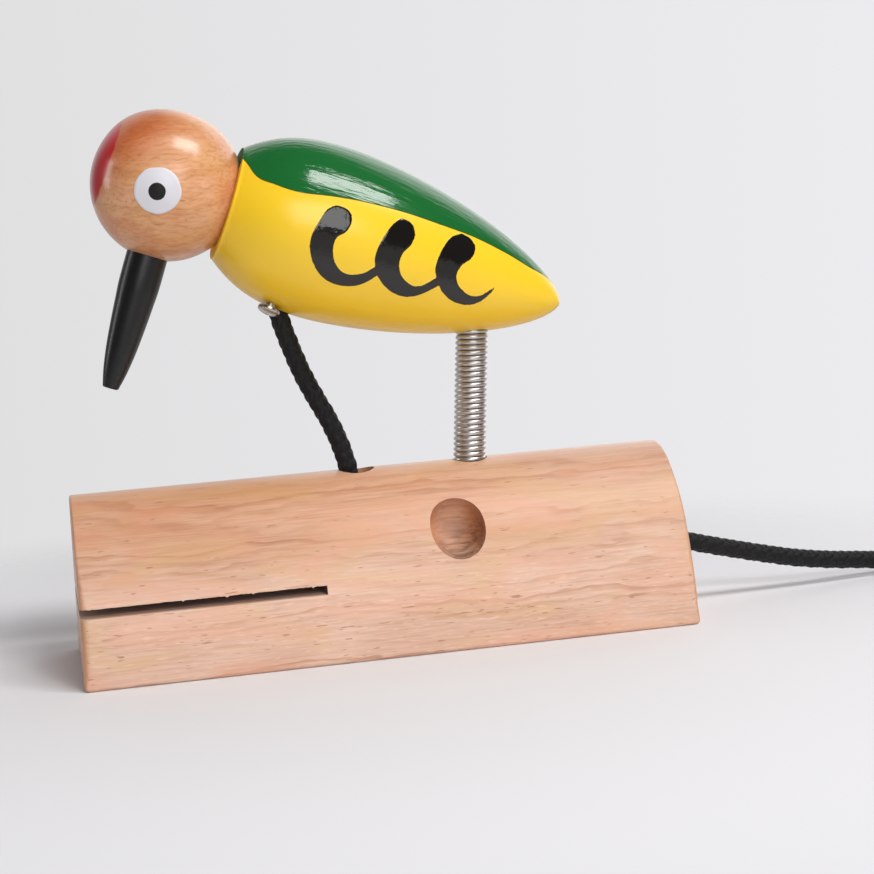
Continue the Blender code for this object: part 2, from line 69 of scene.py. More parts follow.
# Block
BLOCK_LENGTH = 165 * MM
BLOCK_WIDTH = 58 * MM
BLOCK_HEIGHT = 47.5 * MM
CROWN_RADIUS = 17.5 * MM
WALL = 4 * MM
FOOT_CORNER = 1.3 * MM
END_EDGE_LOW = 2.2 * MM  # the ends' edges are sanded round below
END_EDGE_HIGH = 0.7 * MM  # and nearly sharp at the crown
CREST_CLIMB = 0.012  # share of the height, from end to end
EDGE_SHARPENS = 18 * MM  # height where that rounding starts to shrink, and over which it does
END_FLARE = 0.6 * MM  # the ends lean out this much at the base
SLOT_LENGTH = 64 * MM
SLOT_HEIGHT = 2.4 * MM
SLOT_TOP = 20.9 * MM
SAW_RAG = 0.16 * MM  # unevenness of the saw's upper edge
SPLINTERS = (69, 96, 97, 113, 151)  # steps along the slot where a fibre hangs from that edge
SPLINTER_LENGTH = 0.5 * MM
RECESS_DIAMETER = 15 * MM
RECESS_DEPTH = 9.5 * MM
RECESS_DROOP = math.radians(8)  # the drill entered a little from below
RECESS_X = 18.8 * MM
RECESS_Z = 32.1 * MM
CREST_HOLE_DIAMETER = 10 * MM
CREST_HOLE_X = -4.2 * MM
CREST_HOLE_SUMP = 5 * MM
CHANNEL_DIAMETER = 8 * MM
CHANNEL_Z = 20 * MM
FIT_GAP = 0.3 * MM
SLOT_SHADE_ABOVE = 0.7  # share of painted shade on the saw slot's upper face and end
SLOT_SHADE_BELOW = 0.06  # and on its lower face, which lies in less shade
# share of painted shade on the crest hole's walls
HOLE_SHADE = 0.15

# Spring
SPRING_DIAMETER = 9.1 * MM  # over the crowns of its turns
WIRE_DIAMETER = 1.4 * MM
SPRING_PITCH = 1.48 * MM
WIRE_STEPS = 28  # of the mesh in each turn
WIRE_SIDES = 14
SOCKET_DEPTH = 8 * MM
SOCKET_RADIUS = SPRING_DIAMETER / 2 + FIT_GAP
DRILL_PLAY = 0.5 * MM
SPRING_LOW = -SOCKET_DEPTH + DRILL_PLAY + WIRE_DIAMETER / 2  # the wire's lower end, from the crest
SPRING_SPLIT = -1.2 * MM  # from the crest, where the foot in the socket ends

# Bird
BIRD_RISE = 50.4 * MM
SPRING_AT = 71.8 * MM
BODY_TILT = math.radians(20.3)
BODY_LENGTH = 97.8 * MM
NECK_RADIUS = 14.6 * MM
NECK_FACE = 0.75 * MM  # the flat ring around the ball
NECK_EDGE = 1.2 * MM  # where its rounded edge ends
BELLY_RADIUS = 23.9 * MM
BELLY_AT = 29 * MM
NECK_FULLNESS = 2.7
TAIL_FULLNESS = 1.6
TAIL_BLUNTNESS = 0.65
HEAD_RADIUS = 20.25 * MM
# What hand sanding did to the ball: (degrees from its back up, spread in degrees, mm outwards)
HEAD_UNEVEN = ((118, 20, 0.28), (71, 24, -0.4))
HEAD_SEAT = 15.8 * MM
SEAT_PLAY = 0.05 * MM
FOREHEAD = Vector((-0.92, 0, 0.394)).normalized()
RED_FULL = math.radians(37)  # from the forehead's middle, where the red paint starts to end
RED_GONE = math.radians(39.5)
DOWEL_DIAMETER = 8 * MM
DOWEL_IN_HEAD = 11 * MM
DOWEL_IN_BODY = 12 * MM
BEAK_LENGTH = 36 * MM
BEAK_SWING = math.radians(-0.2)
# Turned outline of the beak: (mm from the head's ball, radius in mm)
BEAK_OUTLINE = (
    (-10, 5.5), (6, 5.5), (12, 5.18), (18, 4.76), (24, 4.22), (28, 3.72), (32, 3.05), (35.4, 2.25),
)
BEAK_ROOT_RADIUS = 5.5 * MM
BEAK_TIP_ROUNDING = 0.6 * MM
BEAK_IN_HEAD = 10 * MM
BEAK_PLAY = 0.08 * MM
EYE_RADIUS = 6.1 * MM
EYE_THICKNESS = 0.42 * MM
EYE_SUNK = 0.06 * MM  # its edge lies this far inside the ball
EYE_ROOT = 1.2 * MM  # and the middle of its hidden back this far
EYE_FORWARD = math.radians(8.8)
EYE_DOWN = math.radians(9.5)
PUPIL_RADIUS = 2.22  # mm

# Screw at the belly
SCREW_HEAD_RADIUS = 3.1 * MM
SCREW_HEAD_HEIGHT = 1.6 * MM
SCREW_PROUD = 1.2 * MM  # the head isn't driven quite home
SCREW_EDGE = 0.15 * MM
SCREW_CROSS_RADIUS = 0.35 * MM
SCREW_CROSS_LENGTH = 3.2 * MM
SCREW_SHANK_RADIUS = 1.3 * MM
SCREW_LENGTH = 9 * MM
SCREW_POINT = 2 * MM
SCREW_AHEAD = 2.6 * MM
BELLY_HOLE_AT = 21.7 * MM
BELLY_HOLE_DEPTH = 8 * MM
BELLY_HOLE_LEAN = math.radians(14.5)

# Cord
CORD_DIAMETER = 5 * MM  # as sold, measured with the braid pressed
CORD_RADIUS = 2.7 * MM  # to the crowns of the strands
CORD_STEP = 0.3 * MM  # mesh spacing along the cord
CORD_SIDES = 48
STRANDS = 6  # in each of the braid's two directions
STRAND_PITCH = 2.7 * MM  # between crossings along the cord
STRAND_WAVE = 0.24 * MM  # rise and fall as a strand goes over and under
STRAND_ROUND = 0.42 * MM  # height of a strand's own rounding
KNOT_CORD_RADIUS = 2.2 * MM  # the braid is pressed flat in the knot

CORD_SPLIT = 0.9 * MM  # below the crest, where the stretch that moves with the bird ends
KNOT_TURN = math.radians(35)
KNOT_GAP = 22  # degrees of the trefoil that stay open at each end
KNOT_SPREAD = 1.5  # mm, a third of the trefoil's reach
KNOT_LIFT = 2.35  # mm, from its middle to the top of each crossing

# Cord's routes, as built in the solids: (x, y, z) in mm
FRONT_ROUTE = (
    (-24.3, 0, 99.0), (-22.9, 0, 93.4), (-21.0, 0, 86.2), (-17.6, 0, 76.2), (-14.2, 0, 68.6),
    (-10.9, 0, 62.0), (-8.3, 0, 55.4), (-6.7, 0, 49.6), (-6.35, 0, 47.2),
)
BEND_ROUTE = (
    (-6.25, 0, 46.2), (-6.1, 0, 36.5), (-5.9, 0, 30.0), (-5.1, 0, 26.2), (-3.0, 0, 22.9),
    (0.3, 0, 20.8), (4.1, 0, 20.0), (7.7, 0, 20.0),
)
CHANNEL_ROUTE = ((12.5, 0, 20), (60, 0, 20))
TAIL_ROUTE = (
    (82.5, 0.0, 20.0), (87.5, 0.1, 19.1), (93.0, 0.5, 17.4), (103.0, 2.0, 14.6),
    (114.4, 3.6, 11.6), (126.0, 5.4, 8.8), (138.0, 7.4, 6.7), (150.2, 9.6, 5.1),
    (157.0, 10.9, 4.0), (162.2, 11.8, 3.3), (172.5, 13.2, 2.52),
)
COIL_CENTRE = (184, -17)
COIL_OUTER_RADIUS = 30.6
COIL_PITCH = 5.3
COIL_TURNS = 1.5
COIL_POINTS = 16  # in each turn
COIL_HEIGHT = 2.5  # of the cord's middle above the table
END_ROUTE = (
    (178.4, -37.9, 2.5), (174.9, -33.6, 2.5), (173.6, -28.6, 2.6), (175.2, -23.4, 3.4),
    (178.2, -19.4, 5.0),
)
KNOT_CENTRE = (180.6, -16.2, 6.2)

# Outlines of the feather strokes on the bird's side, each a fat head that curls into a thin tail:
# (distance from the neck, arc from the top line) in mm
STROKES = (
    (
        (26.5, 31.1), (29.6, 31.6), (31.1, 33.8), (30.4, 37.0), (28.4, 39.4), (28.3, 42.2),
        (29.6, 45.2), (32.0, 47.2), (34.9, 47.2), (38.0, 45.3), (40.5, 42.3), (42.1, 40.8),
        (42.7, 42.6), (41.8, 44.1), (39.5, 47.4), (36.7, 49.9), (32.8, 51.4), (29.1, 51.1),
        (25.6, 48.7), (23.1, 45.0), (22.0, 41.0), (22.7, 36.9), (24.1, 32.9),
    ),
    (
        (44.3, 26.9), (47.2, 26.9), (48.5, 28.7), (48.3, 31.9), (46.7, 35.2), (46.5, 38.1),
        (48.1, 40.6), (51.4, 41.3), (54.4, 39.7), (57.6, 35.4), (59.6, 33.6), (60.4, 35.4),
        (58.9, 36.8), (56.7, 39.9), (53.9, 43.2), (50.6, 45.4), (46.8, 46.1), (43.1, 44.9),
        (40.4, 42.0), (39.6, 38.9), (40.3, 34.5), (42.0, 29.8),
    ),
    (
        (61.6, 19.9), (64.7, 19.3), (66.4, 20.6), (65.9, 24.0), (63.6, 27.8), (63.0, 31.0),
        (64.8, 32.8), (68.4, 32.5), (71.6, 30.0), (74.8, 25.0), (73.8, 28.2), (71.7, 32.1),
        (68.5, 35.5), (64.1, 37.5), (60.3, 37.2), (57.4, 34.9), (56.5, 32.7), (56.9, 28.3),
        (58.6, 23.5),
    ),
)
# Lower edge of the green back: (distance from the neck in mm, degrees down from the top line)
GREEN_EDGE = (
    (0.5, 38.3), (4.6, 63.5), (9.8, 70.3), (16.4, 72.8), (25.4, 69.6), (33.7, 66.8),
    (44.4, 63.8), (55.7, 61.2), (65.3, 57.8), (76.2, 55.0), (85.3, 50.8), (91.0, 36.0),
    (94.7, 19.0), (96.0, 0.0),
)


def linear(colour):
    """An sRGB hex colour as linear red, green, blue and alpha."""
    channels = [int(colour[start : start + 2], 16) / 255 for start in (1, 3, 5)]
    return (*[c / 12.92 if c <= 0.04045 else ((c + 0.055) / 1.055) ** 2.4 for c in channels], 1.0)


def feed(target, inputs):
    """Sets a node's inputs, each to a value or to another node's output."""
    for socket, value in inputs.items():
        if isinstance(value, bpy.types.NodeSocket):
            target.id_data.links.new(value, target.inputs[socket])
        else:
            target.inputs[socket].default_value = value


def node(tree, kind, inputs=None, out=0, **settings):
    """Adds a shader node. Gives one of its outputs, or the node itself where `out` is None."""
    made = tree.nodes.new("ShaderNode" + kind)
    for setting, value in settings.items():
        setattr(made, setting, value)
    feed(made, inputs or {})
    return made if out is None else made.outputs[out]


# Settings that many nodes share. A colour mix takes its two colours at 6 and 7. A map range takes
# the two ends it reads at 1 and 2, and the two it gives at 3 and 4, 0 and 1 where they are left out.
TINT = {"out": 2, "data_type": "RGBA"}
EASED = {"interpolation_type": "SMOOTHSTEP"}


# Shapes


def mesh_piece(name, points, faces, place=None):
    """A smooth mesh object from points and faces in its own frame."""
    mesh = bpy.data.meshes.new(name)
    mesh.from_pydata([tuple(point) for point in points], [], faces)
    mesh.update()
    mesh.shade_smooth()
    piece = bpy.data.objects.new(name, mesh)
    bpy.context.scene.collection.objects.link(piece)
    if place is not None:
        piece.matrix_world = place
    return piece


def ring_faces(rings, sides):
    """Four-sided faces between rings of points that follow one another."""
    faces = []
    for low in range(0, (rings - 1) * sides, sides):
        high = low + sides
        for side in range(sides):
            beside = (side + 1) % sides
            faces.append((low + side, low + beside, high + beside, high + side))
    return faces


def lathe_faces(rings, sides):
    """Faces of a shape closed by two middle points, which come after the rings: first, then last."""
    faces = ring_faces(rings, sides)
    bottom = rings * sides
    last = bottom - sides
    for side in range(sides):
        beside = (side + 1) % sides
        faces.append((bottom, beside, side))
        faces.append((bottom + 1, last + side, last + beside))
    return faces


def turned(name, profile, steps, place=None, along=None):
    """A lathe shape about local Z from (radius, height) pairs that start and end on the axis.

    The heights rise on the outer side. `along` moves the shape inside its own frame.
    """
    rings = profile[1:-1]
    angles = [math.tau * step / steps for step in range(steps)]
    points = [(r * math.cos(a), r * math.sin(a), z) for r, z in rings for a in angles]
    points += [(0.0, 0.0, profile[0][1]), (0.0, 0.0, profile[-1][1])]
    if along is not None:
        points = [along @ Vector(point) for point in points]
    return mesh_piece(name, points, lathe_faces(len(rings), steps), place)


def arc(centre, radius, first, last, count):
    """Points (x, y) on an arc, in degrees, with both ends."""
    angles = [math.radians(first + (last - first) * i / count) for i in range(count + 1)]
    return [(centre[0] + radius * math.cos(a), centre[1] + radius * math.sin(a)) for a in angles]


def carve(piece, *cutters):
    """Cuts the cutters out of the piece, then removes them."""
    for cutter in cutters:
        cut = piece.modifiers.new(cutter.name, "BOOLEAN")
        cut.operation = "DIFFERENCE"
        cut.solver = "EXACT"
        cut.object = cutter
    bpy.context.view_layer.update()
    shaped = piece.evaluated_get(bpy.context.evaluated_depsgraph_get())
    mesh = bpy.data.meshes.new_from_object(shaped)
    piece.modifiers.clear()
    piece.data = mesh
    for cutter in cutters:
        bpy.data.objects.remove(cutter, do_unlink=True)


def crisp(piece, degrees=32):
    """Smooth faces with the edges above this angle kept sharp."""
    piece.data.shade_smooth()
    piece.data.set_sharp_from_angle(angle=math.radians(degrees))


def points_of(piece):
    """The mesh's points in its own frame, as an array in mm."""
    count = len(piece.data.vertices)
    flat = np.empty(count * 3)
    piece.data.vertices.foreach_get("co", flat)
    return flat.reshape(-1, 3) / MM


def mark(piece, name, values, domain="POINT"):
    """Stores a number at each point or face for the material to read."""
    attribute = piece.data.attributes.new(name, "FLOAT", domain)
    attribute.data.foreach_set("value", np.asarray(values, np.float32))


def drill(name, radius, length, start, direction, steps=64):
    """A cylinder cutter that runs from a point along a direction."""
    turn = Vector(direction).to_track_quat("Z", "Y").to_matrix().to_4x4()
    profile = [(0.0, 0.0), (radius, 0.0), (radius, length), (0.0, length)]
    return turned(name, profile, steps, Matrix.Translation(Vector(start)) @ turn)


def lengths_along(points):
    """The line's length up to each of its points."""
    steps = np.linalg.norm(np.diff(points, axis=0), axis=1)
    return np.concatenate([[0], np.cumsum(steps)])


def smooth_line(route, step):
    """Evenly spaced points along one smooth curve that passes through the route, as an array."""
    route = np.array(route, float)
    padded = np.vstack([2 * route[0] - route[1], route, 2 * route[-1] - route[-2]])
    fine = []
    for before, start, end, after in zip(padded, padded[1:], padded[2:], padded[3:]):
        for t in np.linspace(0, 1, 40, endpoint=False):
            ahead = (end - before) / 2
            behind = (after - start) / 2
            fine.append(
                (2 * t**3 - 3 * t**2 + 1) * start
                + (t**3 - 2 * t**2 + t) * ahead
                + (3 * t**2 - 2 * t**3) * end
                + (t**3 - t**2) * behind
            )
    fine.append(route[-1])
    fine = np.array(fine)
    lengths = lengths_along(fine)
    count = max(2, round(lengths[-1] / step))
    even = np.linspace(0, lengths[-1], count + 1)
    return np.stack([np.interp(even, lengths, fine[:, axis]) for axis in range(3)], axis=1)


def crosses_along(points):
    """Two directions across the line at each of its points, which don't twist about it."""
    tangents = np.gradient(points, axis=0)
    tangents /= np.linalg.norm(tangents, axis=1)[:, None]
    first = np.cross(tangents[0], (0.0, 1.0, 0.0))
    first /= np.linalg.norm(first)
    sides = [first]
    for tangent in tangents[1:]:
        side = sides[-1] - tangent * sides[-1].dot(tangent)
        sides.append(side / np.linalg.norm(side))
    sides = np.array(sides)
    return sides, np.cross(tangents, sides)


def rings_about(points, angles, out):
    """A ring of points about each point of a line, at these angles and this far out."""
    side, other = crosses_along(points)
    rings = (
        points[:, None]
        + out * np.cos(angles)[..., None] * side[:, None]
        + out * np.sin(angles)[..., None] * other[:, None]
    )
    return rings.reshape(-1, 3)


def wire(name, points, radius, sides):
    """A round rod along points in metres, with closed ends."""
    angles = np.linspace(0, math.tau, sides, endpoint=False)
    return mesh_piece(name, rings_about(points, angles, radius), tube_faces(len(points), sides))


def tube_faces(rings, sides):
    """Faces of a tube with closed ends."""
    faces = ring_faces(rings, sides)
    faces.append(tuple(reversed(range(sides))))
    faces.append(tuple(range((rings - 1) * sides, rings * sides)))
    return faces


def braid_relief(angle, along):
    """Height of the braid's surface above its core, and whether the first direction is on top.

    The strands of both directions cross in a two-over, two-under twill.
    """
    first = along / STRAND_PITCH + STRANDS * angle / math.tau
    second = along / STRAND_PITCH - STRANDS * angle / math.tau
    first_index = np.floor(first)
    second_index = np.floor(second)
    first_wave = np.cos(math.pi / 2 * (first_index + second - 1))
    second_wave = np.cos(math.pi / 2 * (first + second_index - 3))
    first_round = np.sqrt(1 - 0.92 * (2 * (first - first_index) - 1) ** 2)
    second_round = np.sqrt(1 - 0.92 * (2 * (second - second_index) - 1) ** 2)
    first_height = STRAND_WAVE * first_wave + STRAND_ROUND * first_round
    second_height = STRAND_WAVE * second_wave + STRAND_ROUND * second_round
    return np.maximum(first_height, second_height), first_height > second_height


def braid(name, points, start=0.0, radius=CORD_RADIUS):
    """A braided round cord along points in metres. `start` keeps the pattern from piece to piece.

    Its map runs across and along each strand, in mm, for the yarn's filaments.
    """
    along = start + lengths_along(points)
    angles = np.linspace(0, math.tau, CORD_SIDES, endpoint=False)
    angle_grid, along_grid = np.meshgrid(angles, along)
    relief, _ = braid_relief(angle_grid, along_grid)
    core = radius - STRAND_WAVE - STRAND_ROUND
    rings = rings_about(points, angle_grid, (core + relief)[:, :, None])
    piece = mesh_piece(name, rings, tube_faces(len(points), CORD_SIDES))

    # Which strand a face belongs to is read at its middle, so the map never tears inside one.
    step_angle = math.tau / CORD_SIDES
    face_angle, face_along = np.meshgrid(angles + step_angle / 2, (along[:-1] + along[1:]) / 2)
    _, first_on_top = braid_relief(face_angle, face_along)
    corner_angle = face_angle[:, :, None] + np.array([-0.5, 0.5, 0.5, -0.5]) * step_angle
    corner_along = np.stack([along[:-1], along[:-1], along[1:], along[1:]], axis=1)[:, None, :]
    corner_along = np.broadcast_to(corner_along, corner_angle.shape)
    turn = np.where(first_on_top, 1.0, -1.0)[:, :, None]
    around = corner_angle * radius
    across = (corner_along + turn * around) / MM
    down = (corner_along - turn * around) / MM
    layer = piece.data.uv_layers.new(name="strands")
    body = np.stack([across, down], axis=-1).reshape(-1)
    caps = np.zeros(len(layer.data) * 2 - len(body))
    layer.data.foreach_set("uv", np.concatenate([body, caps]).astype(np.float32))
    return piece


# Camera


def direction(azimuth, elevation):
    """A direction from its degrees from straight in front towards +X, and its degrees up."""
    a = math.radians(azimuth)
    e = math.radians(elevation)
    return Vector((math.sin(a) * math.cos(e), -math.cos(a) * math.cos(e), math.sin(e)))


back = direction(CAMERA_TURN, CAMERA_RISE)
level = direction(CAMERA_TURN + 90, 0)
upright = back.cross(level)
camera_right = math.cos(CAMERA_ROLL) * level - math.sin(CAMERA_ROLL) * upright
camera_up = math.sin(CAMERA_ROLL) * level + math.cos(CAMERA_ROLL) * upright
lens = bpy.data.cameras.new("camera")
lens.sensor_width = SENSOR
lens.lens = FOCAL_PIXELS / IMAGE_SIDE * SENSOR
lens.shift_x = (IMAGE_SIDE / 2 - AXIS_PIXEL_X) / IMAGE_SIDE
lens.clip_start = 10 * MM
camera = bpy.data.objects.new("camera", lens)
bpy.context.scene.collection.objects.link(camera)
axes = Matrix((camera_right, camera_up, back)).transposed().to_4x4()
camera.matrix_world = Matrix.Translation(CAMERA_TARGET + CAMERA_DISTANCE * back) @ axes
bpy.context.scene.camera = camera
bpy.context.scene.view_settings.view_transform = "Standard"


# Materials


def begin(name):
    """A new material, what adds a node to it, and the piece's own coordinates in mm."""
    made = bpy.data.materials.new(name)
    made.use_nodes = True
    add = partial(node, made.node_tree)
    place = add("TexCoord", out="Object")
    return made, add, add("VectorMath", {0: place, "Scale": 1 / MM}, operation="SCALE")


def finish(made, inputs):
    """The material, once its own shader has its inputs."""
    feed(made.node_tree.nodes["Principled BSDF"], inputs)
    return made


def drawn_out(add, place, scale, out=0, **noise):
    """Noise drawn out along the wood or yarn. The scale of each axis is in 1/mm."""
    place = add("Mapping", {"Vector": place, "Scale": scale})
    return add("TexNoise", {"Vector": place, "Scale": 1.0, **noise}, out)


def beech_grain(add, place, pith, ring_width, wander, tones, patches, fleck, fleck_share, glint):
    """Beech cut along X: thin growth rings, fine fibre and the short flecks of its rays.

    `tones` are the pale and dark wood, `patches` a yellower and a redder tone in broad patches
    and `fleck` the dark flecks. `glint` is the share of the pale flecks.
    Returns the colour and a height for bump. Sizes are in mm.
    """
    # The pith runs a little out of true, so flat-cut faces show long flames.
    centred = add(
        "Mapping",
        {"Vector": place, "Location": pith, "Rotation": (0, math.radians(0.2), math.radians(-0.5))},
    )
    slow = drawn_out(add, place, (0.014, 0.05, 0.05), Detail=4.0, Roughness=0.6)
    parts = add("SeparateXYZ", {0: centred}, out=None)
    flat = add("CombineXYZ", {1: parts.outputs[1], 2: parts.outputs[2]})
    radius = add("VectorMath", {0: flat}, out="Value", operation="LENGTH")
    radius = add("Math", {0: slow, 1: wander, 2: radius}, operation="MULTIPLY_ADD")
    count = add("Math", {0: radius, 1: ring_width}, operation="DIVIDE")
    year = add("Math", {0: count}, operation="FRACT")
    number = add("Math", {0: count}, operation="FLOOR")
    late = add("MapRange", {"Value": year, 1: 0.25, 2: 0.85}, **EASED)
    early = add("MapRange", {"Value": year, 1: 0.88, 2: 1.0, 3: 1.0, 4: 0.0}, **EASED)
    ring = add("Math", {0: late, 1: early}, operation="MULTIPLY")
    # Some years leave a clear line and others hardly any.
    vigour = add("TexWhiteNoise", {"W": number}, out="Value", noise_dimensions="1D")
    ring = add("Math", {0: ring, 1: vigour}, operation="MULTIPLY")

    fibre = drawn_out(add, place, (0.06, 1.9, 1.9), Detail=5.0, Roughness=0.7)
    broad = drawn_out(add, place, (0.03, 0.085, 0.085), out=None, Detail=2.0, Distortion=0.9)
    tone = add("Math", {0: ring, 1: 0.34}, operation="MULTIPLY")
    tone = add("Math", {0: fibre, 1: 0.8, 2: tone}, operation="MULTIPLY_ADD")
    tone = add("Math", {0: broad.outputs[0], 1: 0.6, 2: tone}, operation="MULTIPLY_ADD")
    tone = add("MapRange", {"Value": tone, 1: 0.5, 2: 1.15})
    pale, dark = tones
    colour = add("Mix", {0: tone, 6: linear(pale), 7: linear(dark)}, **TINT)
    shifts = add("SeparateColor", {0: broad.outputs["Color"]}, out=None)
    for channel, patch in enumerate(patches):
        share = add("MapRange", {"Value": shifts.outputs[1 + channel], 1: 0.46, 2: 0.64, 3: 0.0, 4: 0.55})
        colour = add("Mix", {0: share, 6: colour, 7: linear(patch)}, **TINT)

    dashes = drawn_out(add, place, (0.24, 1.9, 1.9), out=None, Detail=1.0)
    height = add("SeparateXYZ", {0: place}, out=2)
    # Fewer flecks show towards the top, where the cut turns along the rings.
    least = add("MapRange", {"Value": height, 1: 8.0, 2: 40.0, 3: fleck_share, 4: fleck_share + 0.05})
    over = add("Math", {0: dashes.outputs[0], 1: least}, operation="SUBTRACT")
    flecks = add("MapRange", {"Value": over, 1: 0.0, 2: 0.08, 3: 0.0, 4: 0.66}, **EASED)
    glints = add("SeparateColor", {0: dashes.outputs["Color"]}, out=2)
    glints = add("MapRange", {"Value": glints, 1: 0.6, 2: 0.72, 3: 0.0, 4: glint})
    fewer = add("MapRange", {"Value": height, 1: 15.0, 2: 32.0, 3: 1.0, 4: 0.3})
    glints = add("Math", {0: glints, 1: fewer}, operation="MULTIPLY")
    for share, tint in ((glints, "#F0CBB6"), (flecks, fleck)):
        colour = add("Mix", {0: share, 6: colour, 7: linear(tint)}, **TINT)
    relief = add("Math", {0: flecks, 1: -1.0, 2: fibre}, operation="MULTIPLY_ADD")
    return colour, relief


def sanded_beech(name="sanded beech"):
    """Bare beech, sanded fine: pinkish tan, a dull glow and no clear reflections.

    The end grain drinks more light, and shade is painted into the drilled holes and the saw slot.
    """
    made, add, place = begin(name)
    colour, relief = beech_grain(
        add,
        place,
        pith=(0, -14, 34),
        ring_width=1.6,
        wander=12.0,
        tones=("#E3C1AD", "#B98566"),
        patches=("#D6B086", "#DEA98F"),
        fleck="#A06A4C",
        fleck_share=0.665,
        glint=0.4,
    )
    # Warmer and darker towards the crown, most of all towards the saw slot's end.
    height = add("SeparateXYZ", {0: place}, out=2)
    crown = add("MapRange", {"Value": height, 1: 20.0, 2: 38.0}, **EASED)
    length = add("SeparateXYZ", {0: place})
    length = add("MapRange", {"Value": length, 1: 60.0, 2: -40.0, 3: 0.6, 4: 1.0})
    crown = add("Math", {0: crown, 1: length}, operation="MULTIPLY")
    colour = add("Mix", {0: crown, 6: colour, 7: linear("#F2E0CE")}, blend_type="MULTIPLY", **TINT)
    facing = add("TexCoord", out="Normal")
    facing = add("SeparateXYZ", {0: facing})
    facing = add("Math", {0: facing}, operation="ABSOLUTE")
    end_grain = add("MapRange", {"Value": facing, 1: 0.25, 2: 0.85, 3: 0.0, 4: 0.75}, **EASED)
    colour = add("Mix", {0: end_grain, 6: colour, 7: linear("#C8875A")}, **TINT)
    hollow_shade = add("Attribute", out="Fac", attribute_name="hollow_shade")
    # Painted shade in the hollows, streaked by level lines that the bit left.
    lines = drawn_out(add, place, (0.12, 0.5, 1.5), Detail=2.0)
    lines = add("MapRange", {"Value": lines, 1: 0.35, 2: 0.65, 3: 0.5, 4: 1.4})
    painted_shade = add("Math", {0: hollow_shade, 1: lines}, operation="MULTIPLY")
    colour = add("Mix", {0: painted_shade, 6: colour, 7: linear("#3A190D")}, **TINT)
    bump = add("Bump", {"Strength": 0.25, "Distance": 0.05 * MM, "Height": relief})
    rough = add("MapRange", {"Value": relief, 3: 0.34, 4: 0.5})
    # Only the sanded faces have been waxed. Raised fibre ends catch the light at a glance.
    waxed = add("MapRange", {"Value": hollow_shade, 1: 0.03, 2: 0.06, 3: 0.6, 4: 0.0})
    return finish(
        made,
        {
            "Base Color": colour,
            "Roughness": rough,
            "Normal": bump,
            "Sheen Weight": 0.12,
            "Specular IOR Level": 0.2,
            "Coat Weight": waxed,
            "Coat IOR": 1.3,
            "Coat Roughness": 0.28,
            "Sheen Roughness": 0.35,
            "Sheen Tint": linear("#EFE6F2"),
        },
    )


def lacquered_beech():
    """A beech ball under clear lacquer, warmer and deeper, with a red dabbed forehead."""
    made, add, place = begin("lacquered beech")
    # The ball's fibre waves where it was turned across the grain.
    ripple = add("TexNoise", {"Vector": place, "Scale": 0.22, "Detail": 1.5}, out="Color")
    bent = add("VectorMath", {0: ripple, 1: (1.5, 2.2, 2.2), 2: place}, operation="MULTIPLY_ADD")
    colour, relief = beech_grain(
        add,
        bent,
        pith=(0, -8, 60),
        ring_width=4.5,
        wander=5.0,
        tones=("#E6AE86", "#C98857"),
        patches=("#D9A063", "#D08350"),
        fleck="#AC6C42",
        fleck_share=0.7,
        glint=0.1,
    )
    # Short level waves of the turned fibre.
    waves = drawn_out(add, bent, (0.25, 0.8, 1.45), Detail=1.5)
    for first, last, share, tint in ((0.52, 0.68, 0.36, "#B9713F"), (0.46, 0.34, 0.16, "#EFBE96")):
        crests = add("MapRange", {"Value": waves, 1: first, 2: last, 3: 0.0, 4: share})
        colour = add("Mix", {0: crests, 6: colour, 7: linear(tint)}, **TINT)
    # Lacquer has soaked in and darkened the end grain towards the forehead.
    outward = add("VectorMath", {0: place}, operation="NORMALIZE")
    soaked = add("VectorMath", {0: outward, 1: (-0.62, -0.25, 0.74)}, out="Value", operation="DOT_PRODUCT")
    soaked = add("MapRange", {"Value": soaked, 1: 0.45, 2: 0.95, 3: 0.0, 4: 0.75}, **EASED)
    colour = add("Mix", {0: soaked, 6: colour, 7: linear("#DB8E5C")}, blend_type="MULTIPLY", **TINT)
    facing = add("VectorMath", {0: outward, 1: tuple(FOREHEAD)}, out="Value", operation="DOT_PRODUCT")
    angle = add("Math", {0: facing}, operation="ARCCOSINE")
    frayed = add("TexNoise", {"Vector": place, "Scale": 0.5, "Detail": 3.0})
    angle = add("Math", {0: frayed, 1: 0.07, 2: angle}, operation="MULTIPLY_ADD")
    red = add("MapRange", {"Value": angle, 1: RED_FULL, 2: RED_GONE, 3: 1.0, 4: 0.0}, **EASED)
    colour = add("Mix", {0: red, 6: colour, 7: linear("#BC0E18")}, **TINT)
    bump = add("Bump", {"Strength": 0.12, "Distance": 0.04 * MM, "Height": relief})
    return finish(
        made,
        {
            "Base Color": colour,
            "Normal": bump,
            "Roughness": 0.5,
            "Specular IOR Level": 0.2,
            "Coat Weight": 0.9,
            "Coat Roughness": 0.2,
            "Coat IOR": 1.5,
        },
    )


